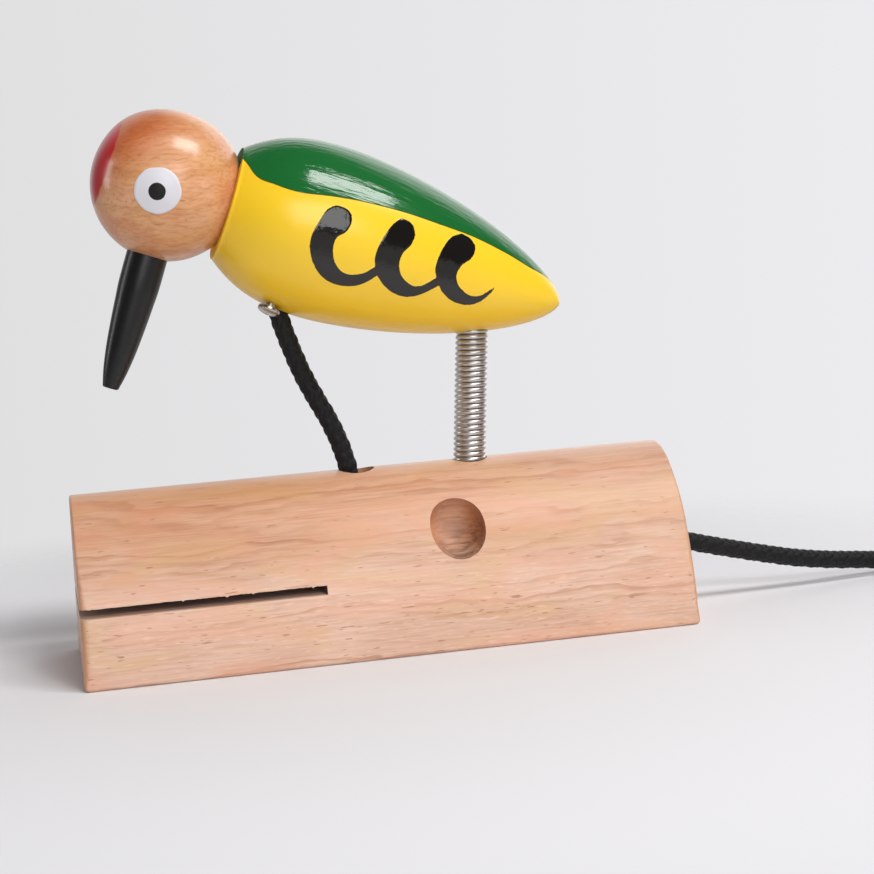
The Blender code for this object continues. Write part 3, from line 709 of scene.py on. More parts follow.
def gloss_enamel():
    """Brushed gloss enamel on turned wood: yellow, a green back over it, black strokes on top."""
    made, add, place = begin("gloss enamel")
    green_inside, stroke_inside = [
        add("Attribute", out="Fac", attribute_name=name) for name in ("green_inside", "stroke_inside")
    ]
    drift = add("TexNoise", {"Vector": place, "Scale": 0.035, "Detail": 2.0})
    yellow = add("Mix", {0: drift, 6: linear("#FDD42C"), 7: linear("#FACB28")}, **TINT)
    green = add("Mix", {0: drift, 6: linear("#1B6D31"), 7: linear("#15602A")}, **TINT)
    # Where the green thins out over the yellow it leaves a fine dark olive line.
    edge = add("MapRange", {"Value": green_inside, 1: 0.1, 2: 0.45})
    green = add("Mix", {0: edge, 6: linear("#3C4A12"), 7: green}, **TINT)
    green_share, stroke_share = [
        add("MapRange", {"Value": inside, 1: -0.05, 2: 0.05}) for inside in (green_inside, stroke_inside)
    ]
    colour = add("Mix", {0: green_share, 6: yellow, 7: green}, **TINT)
    colour = add("Mix", {0: stroke_share, 6: colour, 7: linear("#15120F")}, **TINT)

    # Brush marks run along the body, and each coat stands a little above the one below.
    brushed = drawn_out(add, place, (0.07, 0.75, 0.75), Detail=3.0)
    brush_depth = add("MapRange", {"Value": green_share, 3: 0.15, 4: 3.4})
    lumps = add("TexNoise", {"Vector": place, "Scale": 0.5, "Detail": 2.5})
    lumps = add("Math", {0: lumps, 1: stroke_share}, operation="MULTIPLY")
    coat = add("MapRange", {"Value": green_inside, 1: -0.15, 2: 0.3, 3: 0.0, 4: 0.6}, **EASED)
    stroke_coat = add("MapRange", {"Value": stroke_inside, 1: -0.1, 2: 0.5}, **EASED)
    height = add("Math", {0: coat, 1: stroke_coat}, operation="ADD")
    height = add("Math", {0: brushed, 1: brush_depth, 2: height}, operation="MULTIPLY_ADD")
    height = add("Math", {0: lumps, 1: 2.4, 2: height}, operation="MULTIPLY_ADD")
    bump = add("Bump", {"Strength": 0.5, "Distance": 0.1 * MM, "Height": height})
    # The strokes shine most and the yellow, brushed thinnest, least.
    shine = add("MapRange", {"Value": green_share, 3: 0.27, 4: 0.12})
    shine = add("Mix", {0: stroke_share, 2: shine, 3: 0.1}, data_type="FLOAT")
    # The ring around the ball only got a thin dull coat.
    facing = add("TexCoord", out="Normal")
    facing = add("SeparateXYZ", {0: facing})
    dull = add("MapRange", {"Value": facing, 1: -0.6, 2: -0.85})
    shine = add("Mix", {0: dull, 2: shine, 3: 0.75}, data_type="FLOAT")
    return finish(made, {"Base Color": colour, "Normal": bump, "Roughness": shine, "IOR": 1.58})


def satin_black():
    """Satin black lacquer on a turned peg: soft broad reflections with faint turning lines."""
    made, add, place = begin("satin black lacquer")
    lines = drawn_out(add, place, (0.3, 0.3, 2.6), Detail=3.0)
    colour = add("Mix", {0: lines, 6: linear("#0D0D0D"), 7: linear("#161515")}, **TINT)
    rough = add("MapRange", {"Value": lines, 3: 0.26, 4: 0.4})
    bump = add("Bump", {"Strength": 0.25, "Distance": 0.05 * MM, "Height": lines})
    return finish(made, {"Base Color": colour, "Roughness": rough, "Normal": bump})


def eye_enamel():
    """A thick disc of white enamel with a black dot: satin, with a cool white."""
    made, add, place = begin("eye enamel")
    flat = add("VectorMath", {0: place, 1: (1.0, 1.0, 0.0)}, operation="MULTIPLY")
    centred = add("VectorMath", {0: flat, 1: (0.0, -0.15, 0.0)}, operation="SUBTRACT")
    out = add("VectorMath", {0: centred}, out="Value", operation="LENGTH")
    uneven = add("TexNoise", {"Vector": place, "Scale": 0.6, "Detail": 2.0})
    out = add("Math", {0: uneven, 1: 0.16, 2: out}, operation="MULTIPLY_ADD")
    dot = add("MapRange", {"Value": out, 1: PUPIL_RADIUS + 0.04, 2: PUPIL_RADIUS + 0.16, 3: 1.0, 4: 0.0})
    colour = add("Mix", {0: dot, 6: linear("#DDDBE1"), 7: linear("#0E0C0D")}, **TINT)
    bump = add("Bump", {"Strength": 0.4, "Distance": 0.08 * MM, "Height": dot})
    return finish(made, {"Base Color": colour, "Normal": bump, "Roughness": 0.3})


def nickelled_steel(name, pale, dark, low, high):
    """Nickel plate on drawn or turned steel: bright, slightly warm, with fine tarnish."""
    made, add, place = begin(name)
    cloud = add("TexNoise", {"Vector": place, "Scale": 0.9, "Detail": 4.0})
    colour = add("Mix", {0: cloud, 6: linear(pale), 7: linear(dark)}, **TINT)
    rough = add("MapRange", {"Value": cloud, 1: 0.3, 2: 0.7, 3: low, 4: high})
    return finish(made, {"Base Color": colour, "Roughness": rough, "Metallic": 1.0})


def black_braid():
    """Black polyester yarn: dull, with a soft sheen on the crowns and a few white lint specks."""
    made, add, _ = begin("black polyester braid")
    strands = add("UVMap", uv_map="strands")
    # Filaments are about 0.03 mm thick, drawn at 0.15 mm so that they show.
    yarn = drawn_out(add, strands, (6.5, 0.5, 1.0), Detail=2.0)
    colour = add("Mix", {0: yarn, 6: linear("#0B0B0C"), 7: linear("#1B1A1C")}, **TINT)
    cells = add("TexVoronoi", {"Vector": strands, "Scale": 0.16}, out=None)
    near = add("MapRange", {"Value": cells.outputs["Distance"], 1: 0.02, 2: 0.035, 3: 1.0, 4: 0.0})
    pick = add("SeparateColor", {0: cells.outputs["Color"]})
    pick = add("Math", {0: pick, 1: 0.82}, operation="GREATER_THAN")
    lint = add("Math", {0: near, 1: pick}, operation="MULTIPLY")
    colour = add("Mix", {0: lint, 6: colour, 7: linear("#D8D4D0")}, **TINT)
    bump = add("Bump", {"Strength": 0.7, "Distance": 0.08 * MM, "Height": yarn})
    return finish(
        made,
        {
            "Base Color": colour,
            "Normal": bump,
            "Roughness": 0.6,
            "Specular IOR Level": 0.3,
            "Sheen Weight": 0.03,
            "Sheen Roughness": 0.4,
        },
    )


def give(piece, material):
    """Puts a finish on a piece."""
    piece.data.materials.clear()
    piece.data.materials.append(material)


# Cord


def cord_line(route):
    """The cord's middle line in metres, through a route in mm."""
    return smooth_line(route, CORD_STEP / MM) * MM


def coil_route():
    """The free cord's turns on the table, clockwise from above and inwards."""
    points = []
    count = round(COIL_TURNS * COIL_POINTS)
    for i in range(count + 1):
        turns = COIL_TURNS * i / count
        angle = math.radians(90) - math.tau * turns
        radius = COIL_OUTER_RADIUS - COIL_PITCH * turns
        x = COIL_CENTRE[0] + radius * math.cos(angle)
        y = COIL_CENTRE[1] + radius * math.sin(angle)
        points.append((x, y, COIL_HEIGHT))
    return points


def knot_line():
    """An overhand knot drawn up tight, as an opened trefoil, with its short tail."""
    points = []
    for i in range(61):
        t = math.radians(KNOT_GAP + (360 - 2 * KNOT_GAP) * i / 60)
        x = KNOT_SPREAD * (math.sin(t) + 2 * math.sin(2 * t))
        y = KNOT_SPREAD * (math.cos(t) - 2 * math.cos(2 * t))
        points.append((x, y, -KNOT_LIFT * math.sin(3 * t)))
    return points


braid_finish = black_braid()

strung = cord_line((*FRONT_ROUTE, *BEND_ROUTE))
crest_index = int(np.argmax(strung[:, 2] < BLOCK_HEIGHT - CORD_SPLIT))
front_cord = braid("belly_cord", strung[: crest_index + 1])
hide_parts("cord_front")
bend_cord = braid("cord_in_crest_hole", strung[crest_index:], start=lengths_along(strung)[crest_index])
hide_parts("cord_bend")

channel_line = cord_line((*CHANNEL_ROUTE, TAIL_ROUTE[0]))
channel_cord = braid("cord_in_block", channel_line)
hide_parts("cord_channel")

free_line = cord_line((*TAIL_ROUTE, *coil_route(), *END_ROUTE))
free_line[:, 2] = np.maximum(free_line[:, 2], CORD_RADIUS)  # it lies on its crowns
free_cord = braid("pull_cord_braid", free_line, start=lengths_along(channel_line)[-1])
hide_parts("cord_tail", "cord_coil", "cord_end")

knot_turn = Matrix.Rotation(KNOT_TURN, 4, "Z")
knot_points = [knot_turn @ Vector(point) + Vector(KNOT_CENTRE) for point in knot_line()]
knot = braid("stopper_knot", cord_line(knot_points), radius=KNOT_CORD_RADIUS)
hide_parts("cord_knot")

for piece in (front_cord, bend_cord, channel_cord, free_cord, knot):
    give(piece, braid_finish)

crest = Vector(JOINTS["sway"]["pos_m"])
pivot = Vector(JOINTS["peck"]["pos_m"])
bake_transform(front_cord)
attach(bend_cord, "sounder")
for piece in (channel_cord, free_cord, knot):
    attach(piece, "pull_cord")


# Block


def arch_outline():
    """The block's section as (y, z) from one base corner over the crown to the other."""
    half = BLOCK_WIDTH / 2
    crown_z = BLOCK_HEIGHT - CROWN_RADIUS
    rise = crown_z - WALL
    side_radius = (half**2 + rise**2 - CROWN_RADIUS**2) / (2 * (half - CROWN_RADIUS))
    side_y = half - side_radius
    meet = math.degrees(math.atan2(rise, -side_y))
    right = arc((half - FOOT_CORNER, FOOT_CORNER), FOOT_CORNER, -90, 0, 6)
    right += arc((side_y, WALL), side_radius, 0, meet, 28)
    right += arc((0, crown_z), CROWN_RADIUS, meet, 90, 18)[1:]
    left = [(-y, z) for y, z in reversed(right[:-1])]
    return right + left


def block_sections(outline):
    """The outline repeated from end to end, with the ends' edges rounded as they were sanded."""
    along = np.roll(outline, -1, axis=0) - np.roll(outline, 1, axis=0)
    along /= np.linalg.norm(along, axis=1)[:, None]
    outward = np.stack([along[:, 1], -along[:, 0]], axis=1)
    height = outline[:, 1]
    share = np.clip((height - EDGE_SHARPENS) / EDGE_SHARPENS, 0, 1)
    edge = END_EDGE_LOW + (END_EDGE_HIGH - END_EDGE_LOW) * share * share * (3 - 2 * share)
    # At the foot the rounding is no larger than the corner that it runs into.
    above = np.clip((height - FOOT_CORNER) / (4 * MM), 0, 1)
    edge = np.minimum(edge, 0.9 * FOOT_CORNER + (END_EDGE_LOW - 0.9 * FOOT_CORNER) * above)
    end = BLOCK_LENGTH / 2 + END_FLARE * (1 - height / BLOCK_HEIGHT) ** 2
    steps = 7
    sections = []
    for i in range(steps + 1):
        angle = math.pi / 2 * i / steps
        inset = edge * (1 - math.sin(angle))
        x = -end + edge * (1 - math.cos(angle))
        sections.append(np.column_stack([x, outline - outward * inset[:, None]]))
    sections = np.array(sections + [section * (-1, 1, 1) for section in reversed(sections)])
    # The crest climbs a little towards the cord's end.
    sections[:, :, 2] *= 1 + CREST_CLIMB * (sections[:, :, 0] / BLOCK_LENGTH + 0.5)
    return sections


def build_block():
    """The arched block with its saw slot, thumb recess and drilled holes."""
    outline = np.array(arch_outline())
    sections = block_sections(outline)
    faces = tube_faces(len(sections), len(outline))
    block = mesh_piece("arched_block", sections.reshape(-1, 3), faces)
    slot = saw_slot()
    mouth = next(y for y, z in outline if z >= RECESS_Z)
    radius = RECESS_DIAMETER / 2
    dish = [(0.0, 0.0)] + [(radius * math.cos(a), radius * (1 - math.sin(a))) for a in quarter(24)]
    dish += [(radius, BLOCK_WIDTH), (0.0, BLOCK_WIDTH)]
    recess = turned("thumb_recess", dish, 128)
    recess_place = (
        Matrix.Translation((RECESS_X, -mouth, RECESS_Z))
        @ Matrix.Rotation(math.pi / 2 + RECESS_DROOP, 4, "X")
        @ Matrix.Translation((0, 0, -RECESS_DEPTH))
    )
    recess.matrix_world = recess_place
    meet = Vector((CREST_HOLE_X, 0, CHANNEL_Z))
    sump = meet - Vector((0, 0, CREST_HOLE_SUMP))
    crest_hole = drill("crest_hole", CREST_HOLE_DIAMETER / 2, BLOCK_HEIGHT, sump, (0, 0, 1), 96)
    channel = drill("channel", CHANNEL_DIAMETER / 2, BLOCK_LENGTH, meet, (1, 0, 0))
    socket_floor = crest - spring_up * SOCKET_DEPTH
    socket = drill("socket", SOCKET_RADIUS, 3 * SOCKET_DEPTH, socket_floor, spring_up)
    carve(block, slot, recess, crest_hole, channel, socket)
    crisp(block)
    thumb = recess_place.inverted()
    # Shade is painted into the saw slot, the thumb recess and the crest hole, face by face.
    hollow_shade = [hollow_shade_of(face.center, face.normal, outline, thumb) for face in block.data.polygons]
    mark(block, "hollow_shade", hollow_shade, "FACE")
    return block


def hollow_shade_of(middle, normal, outline, thumb):
    """How much shade is painted on a face: most in the saw slot, less in the drilled holes, 0 outside."""
    slot_end = -BLOCK_LENGTH / 2 + SLOT_LENGTH
    near = 0.1 * MM
    in_slot = SLOT_TOP - SLOT_HEIGHT - near < middle.z < SLOT_TOP + 2 * SAW_RAG
    # Painted shade in the saw slot, deepest on its upper face and end.
    if in_slot and middle.x < slot_end + near:
        if normal.z > 0.9:
            return SLOT_SHADE_BELOW
        if normal.z < -0.7 or abs(middle.x - slot_end) < near:
            return SLOT_SHADE_ABOVE
    half = len(outline) // 2
    surface = np.interp(middle.z, outline[:half, 1], outline[:half, 0])
    across, up = (thumb @ middle).to_2d()
    sunk = surface + middle.y > near and middle.y < near - 0.3 * surface
    if sunk and math.hypot(across, up) < RECESS_DIAMETER / 2 + near:
        # Painted shade, darkest low down and towards the cord's end, where the recess lies in shade.
        shade_side = (0.4 * across - 0.95 * up) / (RECESS_DIAMETER / 2)
        return max(0.01, 0.06 + 0.45 * shade_side)
    # A little painted shade on the crest hole's walls.
    from_axis = math.hypot(middle.x - CREST_HOLE_X, middle.y)
    if from_axis < CREST_HOLE_DIAMETER / 2 + near and abs(normal.z) < 0.5:
        return HOLE_SHADE
    return 0.0


def quarter(count):
    """Angles from a quarter turn down to zero."""
    return [math.pi / 2 * (1 - i / count) for i in range(1, count + 1)]


def saw_slot():
    """The saw's cutter, a little ragged along its upper edge where fibres tore out."""
    count = 160
    start = -BLOCK_LENGTH / 2 - SLOT_HEIGHT
    length = SLOT_LENGTH + SLOT_HEIGHT
    low = SLOT_TOP - SLOT_HEIGHT
    chips = np.random.default_rng(5).normal(0, 1, count + 1)
    points = []
    for i in range(count + 1):
        x = start + length * i / count
        ragged = SAW_RAG * max(-0.5, min(1.0, 0.45 * chips[i]))
        if i in SPLINTERS:
            ragged = -SPLINTER_LENGTH
        points += [(x, -BLOCK_WIDTH, low), (x, -BLOCK_WIDTH, SLOT_TOP + ragged)]
        points += [(x, BLOCK_WIDTH, low), (x, BLOCK_WIDTH, SLOT_TOP)]
    last = 4 * count
    faces = [(0, 1, 3, 2), (last, last + 2, last + 3, last + 1)]
    for a in range(0, last, 4):
        for first, second in ((0, 1), (1, 3), (3, 2), (2, 0)):
            faces.append((a + first, a + 4 + first, a + 4 + second, a + second))
    return mesh_piece("saw_slot", points, faces)


spring_up = (pivot - crest).normalized()
block = build_block()
give(block, sanded_beech())
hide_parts("log_block")
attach(block, "sounder")


# Bird


def body_radius(along):
    """The body's turned radius at a distance from the neck, both in metres."""
    if along < BELLY_AT:
        share = 1 - ((BELLY_AT - along) / BELLY_AT) ** NECK_FULLNESS
        return NECK_RADIUS + (BELLY_RADIUS - NECK_RADIUS) * share
    share = min((along - BELLY_AT) / (BODY_LENGTH - BELLY_AT), 1.0)
    return BELLY_RADIUS * (1 - share**TAIL_FULLNESS) ** TAIL_BLUNTNESS


crossing = crest + spring_up * BIRD_RISE
body_axis = Vector((math.cos(BODY_TILT), 0, -math.sin(BODY_TILT)))
head_centre = crossing - body_axis * (HEAD_SEAT + SPRING_AT)
bird_frame = Matrix.Translation(head_centre) @ Matrix.Rotation(BODY_TILT, 4, "Y")
# Local Z of a turned piece, laid along the bird's own +X.
along_bird = Matrix.Rotation(math.pi / 2, 4, "Y")
spring_lean = math.atan2(spring_up.x, spring_up.z)
spring_entry = BIRD_RISE - body_radius(SPRING_AT) / math.cos(BODY_TILT - spring_lean)


def body_profile():
    """Outline from the dowel hole out over the seat and the neck's rim to the tail."""
    hole = DOWEL_DIAMETER / 2 + FIT_GAP
    seat = HEAD_RADIUS + SEAT_PLAY
    mouth = math.sqrt(seat**2 - (HEAD_SEAT + NECK_FACE) ** 2)
    profile = [(0.0, DOWEL_IN_BODY + DRILL_PLAY), (hole, DOWEL_IN_BODY + DRILL_PLAY)]
    for i in range(13):
        radius = hole + (mouth - hole) * i / 12
        profile.append((radius, math.sqrt(seat**2 - radius**2) - HEAD_SEAT))
    rim = body_radius(NECK_EDGE)
    deep = NECK_EDGE - NECK_FACE
    for i in range(7):
        angle = math.radians(90 - 15 * i)
        profile.append((rim - deep * (1 - math.cos(angle)), NECK_FACE + deep * (1 - math.sin(angle))))
    count = 210
    for i in range(1, count):
        # Closer together at the tail, where the outline turns fastest.
        share = 1 - (1 - i / count) ** 1.5
        along = NECK_EDGE + (BODY_LENGTH - NECK_EDGE) * share
        profile.append((body_radius(along), along))
    profile.append((0.0, BODY_LENGTH))
    return profile


def stroke_inside(along, arc_length):
    """How far each point lies inside the feather strokes, in mm, below zero outside them."""
    inside = np.full(len(along), -50.0)
    for stroke in STROKES:
        # The first points come again at the end, so the closed line has no seam.
        looped = [(x, y, 0) for x, y in (*stroke[-2:], *stroke, *stroke[:3])]
        edge = smooth_line(looped, 0.3)[:, :2]
        distance = np.full(len(along), 50.0)
        crossings = np.zeros(len(along), int)
        closed = smooth_line([(x, y, 0) for x, y in (*stroke, stroke[0])], 0.3)[:, :2]
        for (x, y), (next_x, next_y) in zip(closed, closed[1:]):
            spans = (y > arc_length) != (next_y > arc_length)
            if spans.any():
                meets = x + (arc_length - y) / (next_y - y) * (next_x - x)
                crossings += spans & (along < meets)
        for x, y in edge:
            distance = np.minimum(distance, np.hypot(along - x, arc_length - y))
        inside = np.maximum(inside, np.where(crossings % 2 == 1, distance, -distance))
    return inside


def green_inside(along, down, radius):
    """How far each point lies inside the green back, in mm, below zero outside it."""
    fine = smooth_line([(x, angle, 0) for x, angle in GREEN_EDGE], 0.5)
    edge = np.interp(along, fine[:, 0], fine[:, 1])
    return (edge - down) * math.pi / 180 * radius


def build_body():
    """The turned body with its spring socket and belly hole, marked for its paint."""
    seat = Matrix.Translation((HEAD_SEAT, 0, 0)) @ along_bird
    body = turned("turned_body", body_profile(), 300, bird_frame, seat)
    socket_start = crest + spring_up * (spring_entry - SOCKET_DEPTH)
    socket = drill("body_socket", SOCKET_RADIUS, 2 * SOCKET_DEPTH, socket_start, spring_up)
    belly = Vector((HEAD_SEAT + BELLY_HOLE_AT, 0, -body_radius(BELLY_HOLE_AT)))
    slant = BODY_TILT + BELLY_HOLE_LEAN
    into = Vector((-math.sin(slant), 0, math.cos(slant)))
    hole_end = bird_frame @ (belly - into * BELLY_HOLE_DEPTH)
    up = bird_frame.to_3x3() @ into
    belly_hole = drill("belly_hole", CORD_RADIUS + FIT_GAP / 2, 2 * BELLY_HOLE_DEPTH, hole_end, up)
    carve(body, socket, belly_hole)
    crisp(body)
    points = points_of(body)
    along = points[:, 0] - HEAD_SEAT / MM
    down = np.degrees(np.arctan2(np.abs(points[:, 1]), points[:, 2]))
    radius = np.hypot(points[:, 1], points[:, 2])
    mark(body, "green_inside", green_inside(along, down, radius))
    mark(body, "stroke_inside", stroke_inside(along, np.radians(down) * radius))
    return body


def build_head():
    """The ball, a little flat on top and full at the forehead as hand sanding left it."""
    count = 96
    profile = [(HEAD_RADIUS * math.sin(a), -HEAD_RADIUS * math.cos(a)) for a in half_turn(count)]
    head = turned("turned_head", profile, 160, Matrix.Translation(head_centre), along_bird)
    for vertex in head.data.vertices:
        outward = vertex.co.normalized()
        lift = 0.0
        for degrees, spread, rise in HEAD_UNEVEN:
            lift += rise * math.exp(-((angle_to(outward, degrees) / spread) ** 2))
        vertex.co *= 1 + lift * MM / HEAD_RADIUS
    dowel_start = bird_frame @ Vector((HEAD_RADIUS - DOWEL_IN_HEAD - DRILL_PLAY, 0, 0))
    dowel_hole = drill("dowel_hole", DOWEL_DIAMETER / 2 + FIT_GAP, HEAD_RADIUS, dowel_start, body_axis)
    down = beak_frame.to_3x3() @ Vector((0, 0, -1))
    peg_start = head_centre + down * (HEAD_RADIUS - BEAK_IN_HEAD - DRILL_PLAY)
    beak_hole = drill("beak_hole", BEAK_ROOT_RADIUS + BEAK_PLAY, HEAD_RADIUS, peg_start, down)
    carve(head, dowel_hole, beak_hole)
    crisp(head)
    return head


def half_turn(count):
    """Angles from zero to a half turn."""
    return [math.pi * i / count for i in range(count + 1)]


def angle_to(outward, degrees):
    """Degrees from a direction to one in the x-z plane, given from +X up towards +Z."""
    aim = Vector((math.cos(math.radians(degrees)), 0, math.sin(math.radians(degrees))))
    return math.degrees(outward.angle(aim))


beak_frame = bird_frame @ Matrix.Rotation(BEAK_SWING, 4, "Y")


def build_beak():
    """A turned peg that narrows in one full curve to a small blunt tip."""
    tip = HEAD_RADIUS + BEAK_LENGTH
    curve = smooth_line([(HEAD_RADIUS / MM + down, radius, 0) for down, radius in BEAK_OUTLINE], 0.8) * MM
    outline = [(radius, down) for down, radius, _ in curve]
    narrow, start = outline[-1]
    for i in range(1, 8):
        angle = math.pi / 2 * i / 7
        radius = narrow - BEAK_TIP_ROUNDING * (1 - math.cos(angle))
        outline.append((radius, start + (tip - start) * math.sin(angle)))
    # The peg hangs along the bird's -Z, so the outline is turned over.
    root = outline[0][1]
    profile = [(0.0, -tip)] + [(r, -z) for r, z in reversed(outline)] + [(0.0, -root)]
    beak = turned("turned_beak", profile, 96, beak_frame)
    crisp(beak, 50)
    return beak


def build_eye(name, side):
    """A disc of thick paint on the ball, with a rim where it dried and an outline left by hand."""
    level = Vector((-math.sin(EYE_FORWARD), side * math.cos(EYE_FORWARD), 0))
    look = math.cos(EYE_DOWN) * level - math.sin(EYE_DOWN) * Vector((0, 0, 1))
    # Local Y of the disc points up the head.
    over = look.cross(Vector((0, 0, 1)).cross(look)).normalized()
    across = over.cross(look)
    disc_frame = bird_frame @ Matrix((across, over, look)).transposed().to_4x4()
    steps = 120
    rings = 22
    points = []
    for ring in range(rings, 0, -1):
        share = ring / rings
        for step in range(steps):
            angle = math.tau * step / steps
            uneven = 1 + 0.011 * math.sin(2 * angle + 0.6) + 0.009 * math.sin(5 * angle + 2.0)
            uneven += 0.006 * math.sin(9 * angle)
            spread = EYE_RADIUS * uneven * math.sin(share * math.pi / 2) ** 0.9 / HEAD_RADIUS
            rim = math.exp(-(((share - 0.72) / 0.12) ** 2))
            thick = EYE_THICKNESS * (0.8 + 0.2 * rim) * math.sqrt(max(0.0, 1 - share**9))
            out = HEAD_RADIUS - EYE_SUNK + thick
            away = out * math.sin(spread)
            points.append((away * math.cos(angle), away * math.sin(angle), out * math.cos(spread)))
    points += [(0.0, 0.0, HEAD_RADIUS - EYE_ROOT), (0.0, 0.0, HEAD_RADIUS + 0.8 * EYE_THICKNESS)]
    return mesh_piece(name, points, lathe_faces(rings, steps), disc_frame)


def build_screw():
    """A pan-head wood screw with a cross recess, its head a little off the belly."""
    apart = SCREW_HEAD_RADIUS + CORD_DIAMETER / 2 + FIT_GAP
    aside = math.sqrt(apart**2 - SCREW_AHEAD**2)
    along = BELLY_HOLE_AT - SCREW_AHEAD
    radius = body_radius(along)
    turn = math.asin(aside / radius)
    slope = math.atan2(body_radius(along + MM) - body_radius(along - MM), 2 * MM)
    seat = bird_frame @ Matrix.Translation((HEAD_SEAT + along, 0, 0)) @ Matrix.Rotation(-turn, 4, "X")
    place = seat @ Matrix.Translation((0, 0, -radius)) @ Matrix.Rotation(slope, 4, "Y")
    top = -SCREW_PROUD - SCREW_HEAD_HEIGHT
    profile = [(0.0, top)]
    for i in range(1, 15):
        angle = math.pi / 2 * i / 14
        height = top + 0.62 * SCREW_HEAD_HEIGHT * (1 - math.cos(angle))
        profile.append((SCREW_HEAD_RADIUS * math.sin(angle) ** 0.75, height))
    profile += [
        (SCREW_HEAD_RADIUS, -SCREW_PROUD - SCREW_EDGE),
        (SCREW_HEAD_RADIUS - SCREW_EDGE, -SCREW_PROUD),
        (SCREW_SHANK_RADIUS, -SCREW_PROUD),
        (SCREW_SHANK_RADIUS, SCREW_LENGTH - SCREW_POINT),
        (0.3 * SCREW_SHANK_RADIUS, SCREW_LENGTH),
        (0.0, SCREW_LENGTH),
    ]
    screw = turned("pan_head_screw", profile, 72, place)
    cutters = []
    for quarter_turn in range(2):
        start = (-SCREW_CROSS_LENGTH / 2, 0, top)
        blade = drill("cross", SCREW_CROSS_RADIUS, SCREW_CROSS_LENGTH, start, (1, 0, 0), 16)
        turned_by = Matrix.Rotation(math.pi / 2 * quarter_turn, 4, "Z")
        blade.matrix_world = place @ turned_by @ blade.matrix_world
        cutters.append(blade)
    carve(screw, *cutters)
    crisp(screw)
    return screw


def build_spring(name, start, end):
    """Close-wound wire between two heights above the crest, in step with the whole spring."""
    mean_radius = (SPRING_DIAMETER - WIRE_DIAMETER) / 2
    count = round((end - start) / SPRING_PITCH * WIRE_STEPS)
    heights = np.linspace(start, end, count + 1)
    angles = math.tau * (heights - SPRING_LOW) / SPRING_PITCH
    local = np.stack([mean_radius * np.cos(angles), mean_radius * np.sin(angles), heights], axis=1)
    lean = Matrix.Rotation(spring_lean, 3, "Y")
    points = local @ np.array(lean).T + np.array(crest)
    return wire(name, points, WIRE_DIAMETER / 2, WIRE_SIDES)


eye_finish = eye_enamel()
screw_finish = nickelled_steel("nickelled screw", "#DDD9D2", "#A9A49C", 0.16, 0.3)
for piece, material, slot_name, stands_for in (
    (build_body(), gloss_enamel(), "painted_body", "bird_body"),
    (build_head(), lacquered_beech(), "lacquered_beech", "bird_head"),
    (build_beak(), satin_black(), "black_paint", "beak"),
    (build_eye("painted_eye_left", -1), eye_finish, "eye_white", "eye_left"),
    (build_eye("painted_eye_right", 1), eye_finish, "eye_white", "eye_right"),
    (build_screw(), screw_finish, "screw_steel", "cord_screw"),
):
    give(piece, material)
    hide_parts(stands_for)
    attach(piece, "bird")

spring_finish = nickelled_steel("nickelled spring wire", "#E6E4E2", "#C4C1BF", 0.28, 0.38)
spring_high = spring_entry + SOCKET_DEPTH - DRILL_PLAY - WIRE_DIAMETER / 2
open_spring = build_spring("coil_spring", SPRING_SPLIT, spring_high)
spring_foot = build_spring("coil_spring_foot", SPRING_LOW, SPRING_SPLIT)
for piece in (open_spring, spring_foot):
    give(piece, spring_finish)
    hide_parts("spring")
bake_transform(open_spring)
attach(spring_foot, "sounder")

dowel = frame["nodes"]["neck_dowel"]
dowel.data.materials.clear()
dowel.data.materials.append(sanded_beech("planed beech dowel"))


# Floor, background and light


def softbox(name, azimuth, elevation, distance, width, height, watts, roll=0.0):
    """A rectangular lamp that faces the object, rolled about its own axis by degrees."""
    lamp = bpy.data.lights.new(name, "AREA")
    lamp.shape = "RECTANGLE"
    lamp.size = width
    lamp.size_y = height
    lamp.energy = watts
    away = direction(azimuth, elevation)
    holder = bpy.data.objects.new(name, lamp)
    holder.matrix_world = (
        Matrix.Translation(CAMERA_TARGET + away * distance)
        @ away.to_track_quat("Z", "Y").to_matrix().to_4x4()
        @ Matrix.Rotation(math.radians(roll), 4, "Z")
    )
    bpy.context.scene.collection.objects.link(holder)
    return holder


BACKGROUND_LEFT = "#E0E0E1"
BACKGROUND_RIGHT = "#ECEBEE"
ROOM = "#4C4C4E"  # the dim room in front of the object
SIDE = "#565457"  # and to its left
TABLE = "#BBB8B8"  # past the floor's faded edge
FLOOR = "#E8E7E9"
FLOOR_SIDE = 5.0  # m
FLOOR_CLEAR = 125.0  # mm from the middle, where the floor starts to fade into the background
FLOOR_GONE = 280.0


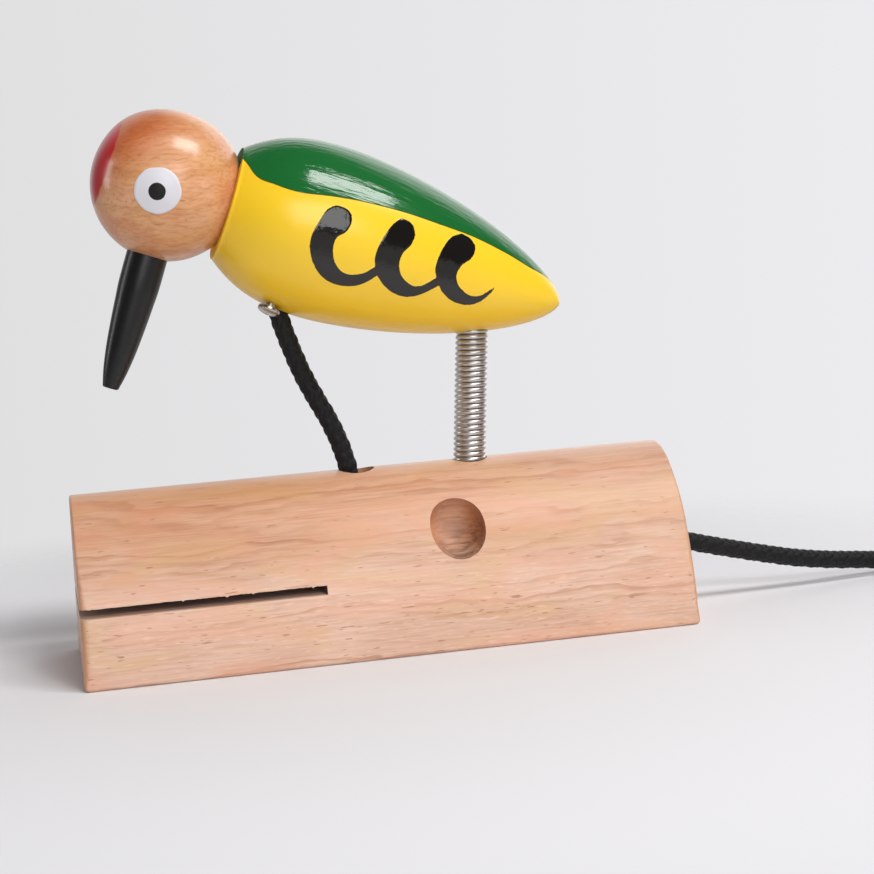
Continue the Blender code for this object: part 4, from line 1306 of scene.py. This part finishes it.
def build_world():
    """A pale backdrop behind the object, brightest at its right, and a dim room in front."""
    world = bpy.data.worlds.new("studio")
    bpy.context.scene.world = world
    world.use_nodes = True
    world.node_tree.nodes.clear()
    add = partial(node, world.node_tree)
    ray = add("TexCoord", out="Generated")
    parts = add("SeparateXYZ", {0: ray}, out=None)
    rightwards = add("MapRange", {"Value": parts.outputs[0], 1: -0.02, 2: 0.44})
    paper = add("Mix", {0: rightwards, 6: linear(BACKGROUND_LEFT), 7: linear(BACKGROUND_RIGHT)}, **TINT)
    behind = add("MapRange", {"Value": parts.outputs[1], 1: 0.1, 2: 0.5}, **EASED)
    # The backdrop ends above the object, where the room is dim again.
    below_top = add("MapRange", {"Value": parts.outputs[2], 1: 0.65, 2: 0.9, 3: 1.0, 4: 0.0}, **EASED)
    behind = add("Math", {0: behind, 1: below_top}, operation="MULTIPLY")
    around = add("Mix", {0: behind, 6: linear(ROOM), 7: paper}, **TINT)
    leftwards = add("MapRange", {"Value": parts.outputs[0], 1: -0.3, 2: -0.75}, **EASED)
    around = add("Mix", {0: leftwards, 6: around, 7: linear(SIDE)}, **TINT)
    # Past its faded edge the table goes on, and lights the bird from below.
    below = add("MapRange", {"Value": parts.outputs[2], 1: 0.0, 2: -0.12}, **EASED)
    around = add("Mix", {0: below, 6: around, 7: linear(TABLE)}, **TINT)
    # Daylight from behind, on the right.
    window = add("VectorMath", {0: ray, 1: tuple(direction(142, 18))}, out="Value", operation="DOT_PRODUCT")
    window = add("MapRange", {"Value": window, 1: 0.8, 2: 0.95, 3: 1.0, 4: 1.6}, **EASED)
    path = add("LightPath", out=None)
    lit = add("Background", {0: around, 1: window})
    seen = add("Background", {0: paper, 1: 1.0})
    shade = add("MixShader", {0: path.outputs["Is Camera Ray"], 1: lit, 2: seen})
    add("OutputWorld", {0: shade}, out=None)


def build_floor():
    """A pale sheet that fades into the background away from the object."""
    half = FLOOR_SIDE / 2
    points = [(-half, -half, 0.0), (half, -half, 0.0), (half, half, 0.0), (-half, half, 0.0)]
    floor = mesh_piece("floor", points, [(0, 1, 2, 3)])
    made, add, place = begin("pale paper floor")
    finish(made, {"Base Color": linear(FLOOR), "Roughness": 0.85, "Specular IOR Level": 0.2})
    shader = made.node_tree.nodes["Principled BSDF"]
    out = add("VectorMath", {0: place}, out="Value", operation="LENGTH")
    fade = add("MapRange", {"Value": out, 1: FLOOR_CLEAR, 2: FLOOR_GONE}, **EASED)
    clear = add("BsdfTransparent")
    mixed = add("MixShader", {0: fade, 1: shader.outputs[0], 2: clear})
    feed(made.node_tree.nodes["Material Output"], {0: mixed})
    floor.data.materials.append(made)


build_world()
build_floor()
# Each lamp: name, azimuth, elevation, distance, width, height, watts
softbox("key", 45, 56, 1.3, 0.72, 0.42, 9.8, roll=-45)
softbox("front", 2, 18, 1.3, 0.85, 0.62, 5.4)
softbox("left strip", -103, 17, 1.2, 0.24, 0.55, 1.7)
fill = softbox("front fill", 13, 28, 1.3, 0.4, 0.2, 4.6)
fill.visible_glossy = False  # light from the whole room, which leaves no reflection of its own
